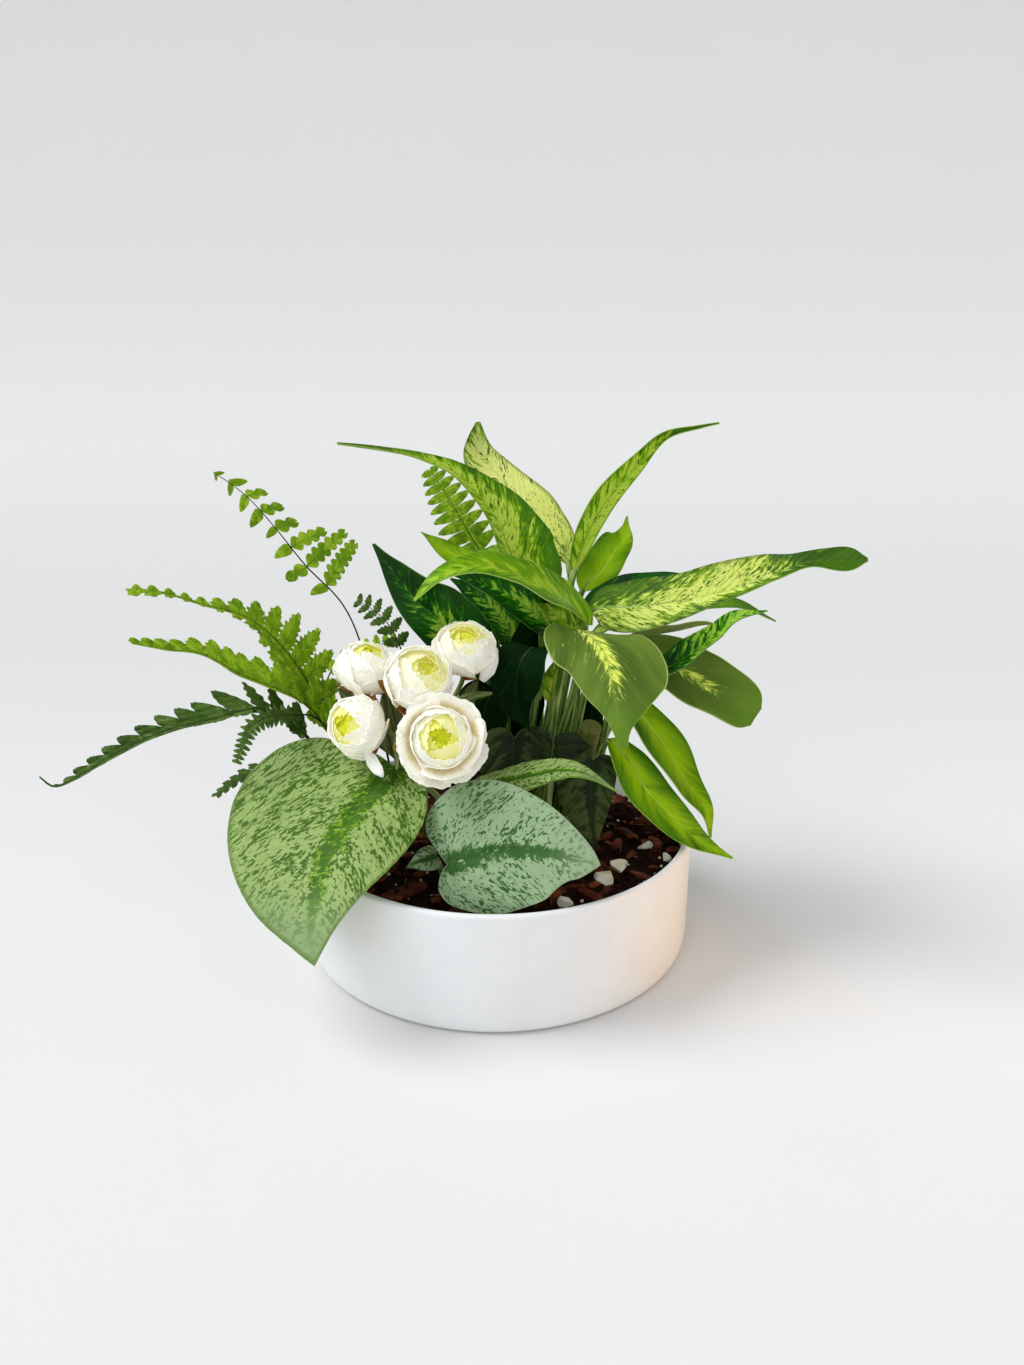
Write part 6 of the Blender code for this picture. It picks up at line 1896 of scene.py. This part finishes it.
@dataclass
class Ranunculus:
    """The spray of silk ranunculus: five heads on one forked, wired stem."""

    heads: Sequence[Head] = HEADS
    fork: Spot = (-38, -4, 92)
    root: Pair = (-38, 0)
    stem_radius: float = 2.0
    branch_radius: float = 1.3
    stops: int = 16
    branch_stops: int = 24
    leaf_thick: float = 0.5
    stem: StalkFinish = StalkFinish("wired_stem", "#5a6a2a", "#7f8f45", roughness=0.55)
    sepal: StalkFinish = StalkFinish("dry_sepal", "#8a4a1c", "#9aa03a", roughness=0.6)
    olive: StalkFinish = StalkFinish("olive_leaf", "#47582a", "#7f8a50", roughness=0.6)
    leaves: Sequence[Sequence] = ((3.4, (0.3, 0, 1), (-41, -12, 116), (-45, -36, 122), (-46, -48, 109)),
                                  (3.2, (0, -0.8, 0.6), (-28, -6, 118), (-14, -12, 132), (-2, -16, 136)),
                                  (7.5, (0.3, -1, 0.2), (-47, 2, 90), (-53, 1, 110), (-56, 0, 132)),
                                  (7, (-0.2, -1, 0.3), (-50, 6, 92), (-64, 6, 110), (-81, 5, 131)),
                                  (5, (0, -1, 0.2), (-26, 4, 108), (-17, 4, 122), (-10, 2, 136)))

    def build(self) -> None:
        """Builds the heads and their stems."""
        silk, sepal = SilkFinish().skin(), self.sepal.skin()
        for head in self.heads:
            head.build(silk, sepal)
        stem_skin, olive = self.stem.skin(), self.olive.skin()
        line = Line([*stem_start(self.root), self.fork])
        stops = np.linspace(0, line.length, self.stops)
        parts = [add_tube("stem", line, stops, np.full(self.stops, self.stem_radius), stem_skin, TOWARDS_VIEWER)]
        low = np.array(self.fork, float) - (0, 0, 4)
        for head in self.heads:
            axis = unit(np.array(head.axis))
            seat = np.array(head.centre) - axis * (head.radius * 0.66 + 0.36)
            middle = low * 0.5 + (seat - axis * 9) * 0.5 + (0, 0, 4)
            line = Line([low, middle, seat - axis * 9, seat - axis * 3, seat])
            stops = np.linspace(0, line.length, self.branch_stops)
            radii = np.full(self.branch_stops, self.branch_radius)
            parts.append(add_tube("branch", line, stops, radii, stem_skin, TOWARDS_VIEWER))
        for half, facing, *spine in self.leaves:
            parts.append(small_leaf("leaf", olive, spine, half, facing, self.leaf_thick))
        settle(join(parts, "ranunculus_stems"), ["flower_stems"])


# Stage


@dataclass(frozen=True)
class Lamp:
    """A light: a broad distant one, or a small square one if it has a side.

    Place is where it is in metres, or the direction that a distant light comes from. Soft is the angle in degrees
    that a distant light fills, or that a square one's beam does.
    """

    name: str
    place: Spot
    strength: float
    soft: float
    colour: str
    aim: Spot = (0, 0, 0)
    side: float = 0.0

    def hang(self) -> None:
        """Adds the light, turned to what it aims at."""
        lamp = bpy.data.lights.new(self.name, "AREA" if self.side else "SUN")
        lamp.energy, lamp.color = self.strength, linear(self.colour)[:3]
        holder = bpy.data.objects.new(self.name, lamp)
        bpy.context.scene.collection.objects.link(holder)
        holder.rotation_euler = (Vector(self.aim) - Vector(self.place)).to_track_quat("-Z", "Y").to_euler()
        if self.side:
            lamp.size, lamp.spread = self.side, math.radians(self.soft)
            holder.location = self.place
            holder.visible_camera = False
        else:
            lamp.angle = math.radians(self.soft)


@dataclass
class Studio:
    """A pale sheet for floor and backdrop, greyer behind by painted shade, soft light from the upper left, and the
    camera.
    """

    camera_place: Spot = (0.008, -0.496, 0.300)
    pitch: float = 18.3
    focal_px: float = 1031.0
    frame_px: tuple[int, int] = (1024, 1365)
    sensor: float = 36.0
    lamps: Sequence[Lamp] = (
        Lamp("window", (-0.62, 0.06, 0.75), 2.1, 34, "#fdfdff"),
        Lamp("room", (-0.15, -0.8, 0.5), 1.35, 100, "#fcfdff"),
        Lamp("warm_wall", (0.4, -0.2, 0.055), 0.02, 32, "#ffb424", (0.092, -0.035, 0.04), 0.07),
    )
    sky: str = "#eef1f6"
    sky_strength: float = 0.42
    sweep_length: float = 7.5
    sweep_near: float = 3.0
    sweep_half: float = 4.0
    sweep_drop: float = 0.0004
    bend: float = 1.5
    bend_start: float = 1.5
    # The third colour is the grey of painted shade, laid where the sweep's cover attribute says.
    paper: GrainFinish = GrainFinish("paper_sweep", "#e4e4e3", "#e5e5e4", "#d7d7d5", grain_mm=300.0, roughness=0.9,
                                     gloss=0.1, by_cover=True)

    def build(self) -> None:
        """Sets up the sweep, the lights, the world and the camera."""
        self.build_sweep()
        for lamp in self.lamps:
            lamp.hang()
        world = bpy.data.worlds.new("studio")
        bpy.context.scene.world = world
        world.use_nodes = True
        wire(world.node_tree, world.node_tree.nodes["Background"], {0: linear(self.sky), 1: self.sky_strength})
        camera = bpy.data.objects.new("camera", bpy.data.cameras.new("camera"))
        bpy.context.scene.collection.objects.link(camera)
        camera.data.sensor_width = self.sensor
        camera.data.lens = self.sensor * self.focal_px / max(self.frame_px)
        camera.data.clip_start = 0.01
        camera.location = self.camera_place
        camera.rotation_euler = (math.radians(90 - self.pitch), 0, 0)
        bpy.context.scene.camera = camera
        bpy.context.scene.view_settings.view_transform = "Standard"

    def build_sweep(self) -> None:
        """The floor, curving up far behind the object."""
        sweep, u, v = add_grid("paper_sweep", 8, 60)
        run = v * self.sweep_length - self.sweep_near
        angle = np.clip((run - self.bend_start) / self.bend, 0, math.pi / 2)
        past = np.maximum(0, run - self.bend_start - self.bend * math.pi / 2)
        y = np.minimum(run, self.bend_start) + self.bend * np.sin(angle)
        z = self.bend * (1 - np.cos(angle)) + past
        place_points(sweep, np.stack([u * self.sweep_half, y, z - self.sweep_drop], axis=1) / MM)
        # Painted shade: the sheet is greyer behind the object, where less light reaches, and less grey high up the
        # backdrop.
        mark(sweep, "cover", smoothstep(-0.15, 0.6, y) * (1 - 0.75 * smoothstep(0.2, 1.3, z)))
        sweep.data.materials.append(self.paper.skin())
        pick(sweep)
        bpy.ops.object.shade_smooth()


def main() -> None:
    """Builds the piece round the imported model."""
    logging.basicConfig(level=logging.INFO, format="%(name)s %(message)s")
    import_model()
    for maker in (Bowl(), PottingMix(), LooseStones(), DumbCane(), SatinPothos(), Fern(), Ranunculus(), Studio()):
        LOG.info("building %s", type(maker).__name__)
        maker.build()


if __name__ == "__main__":
    main()
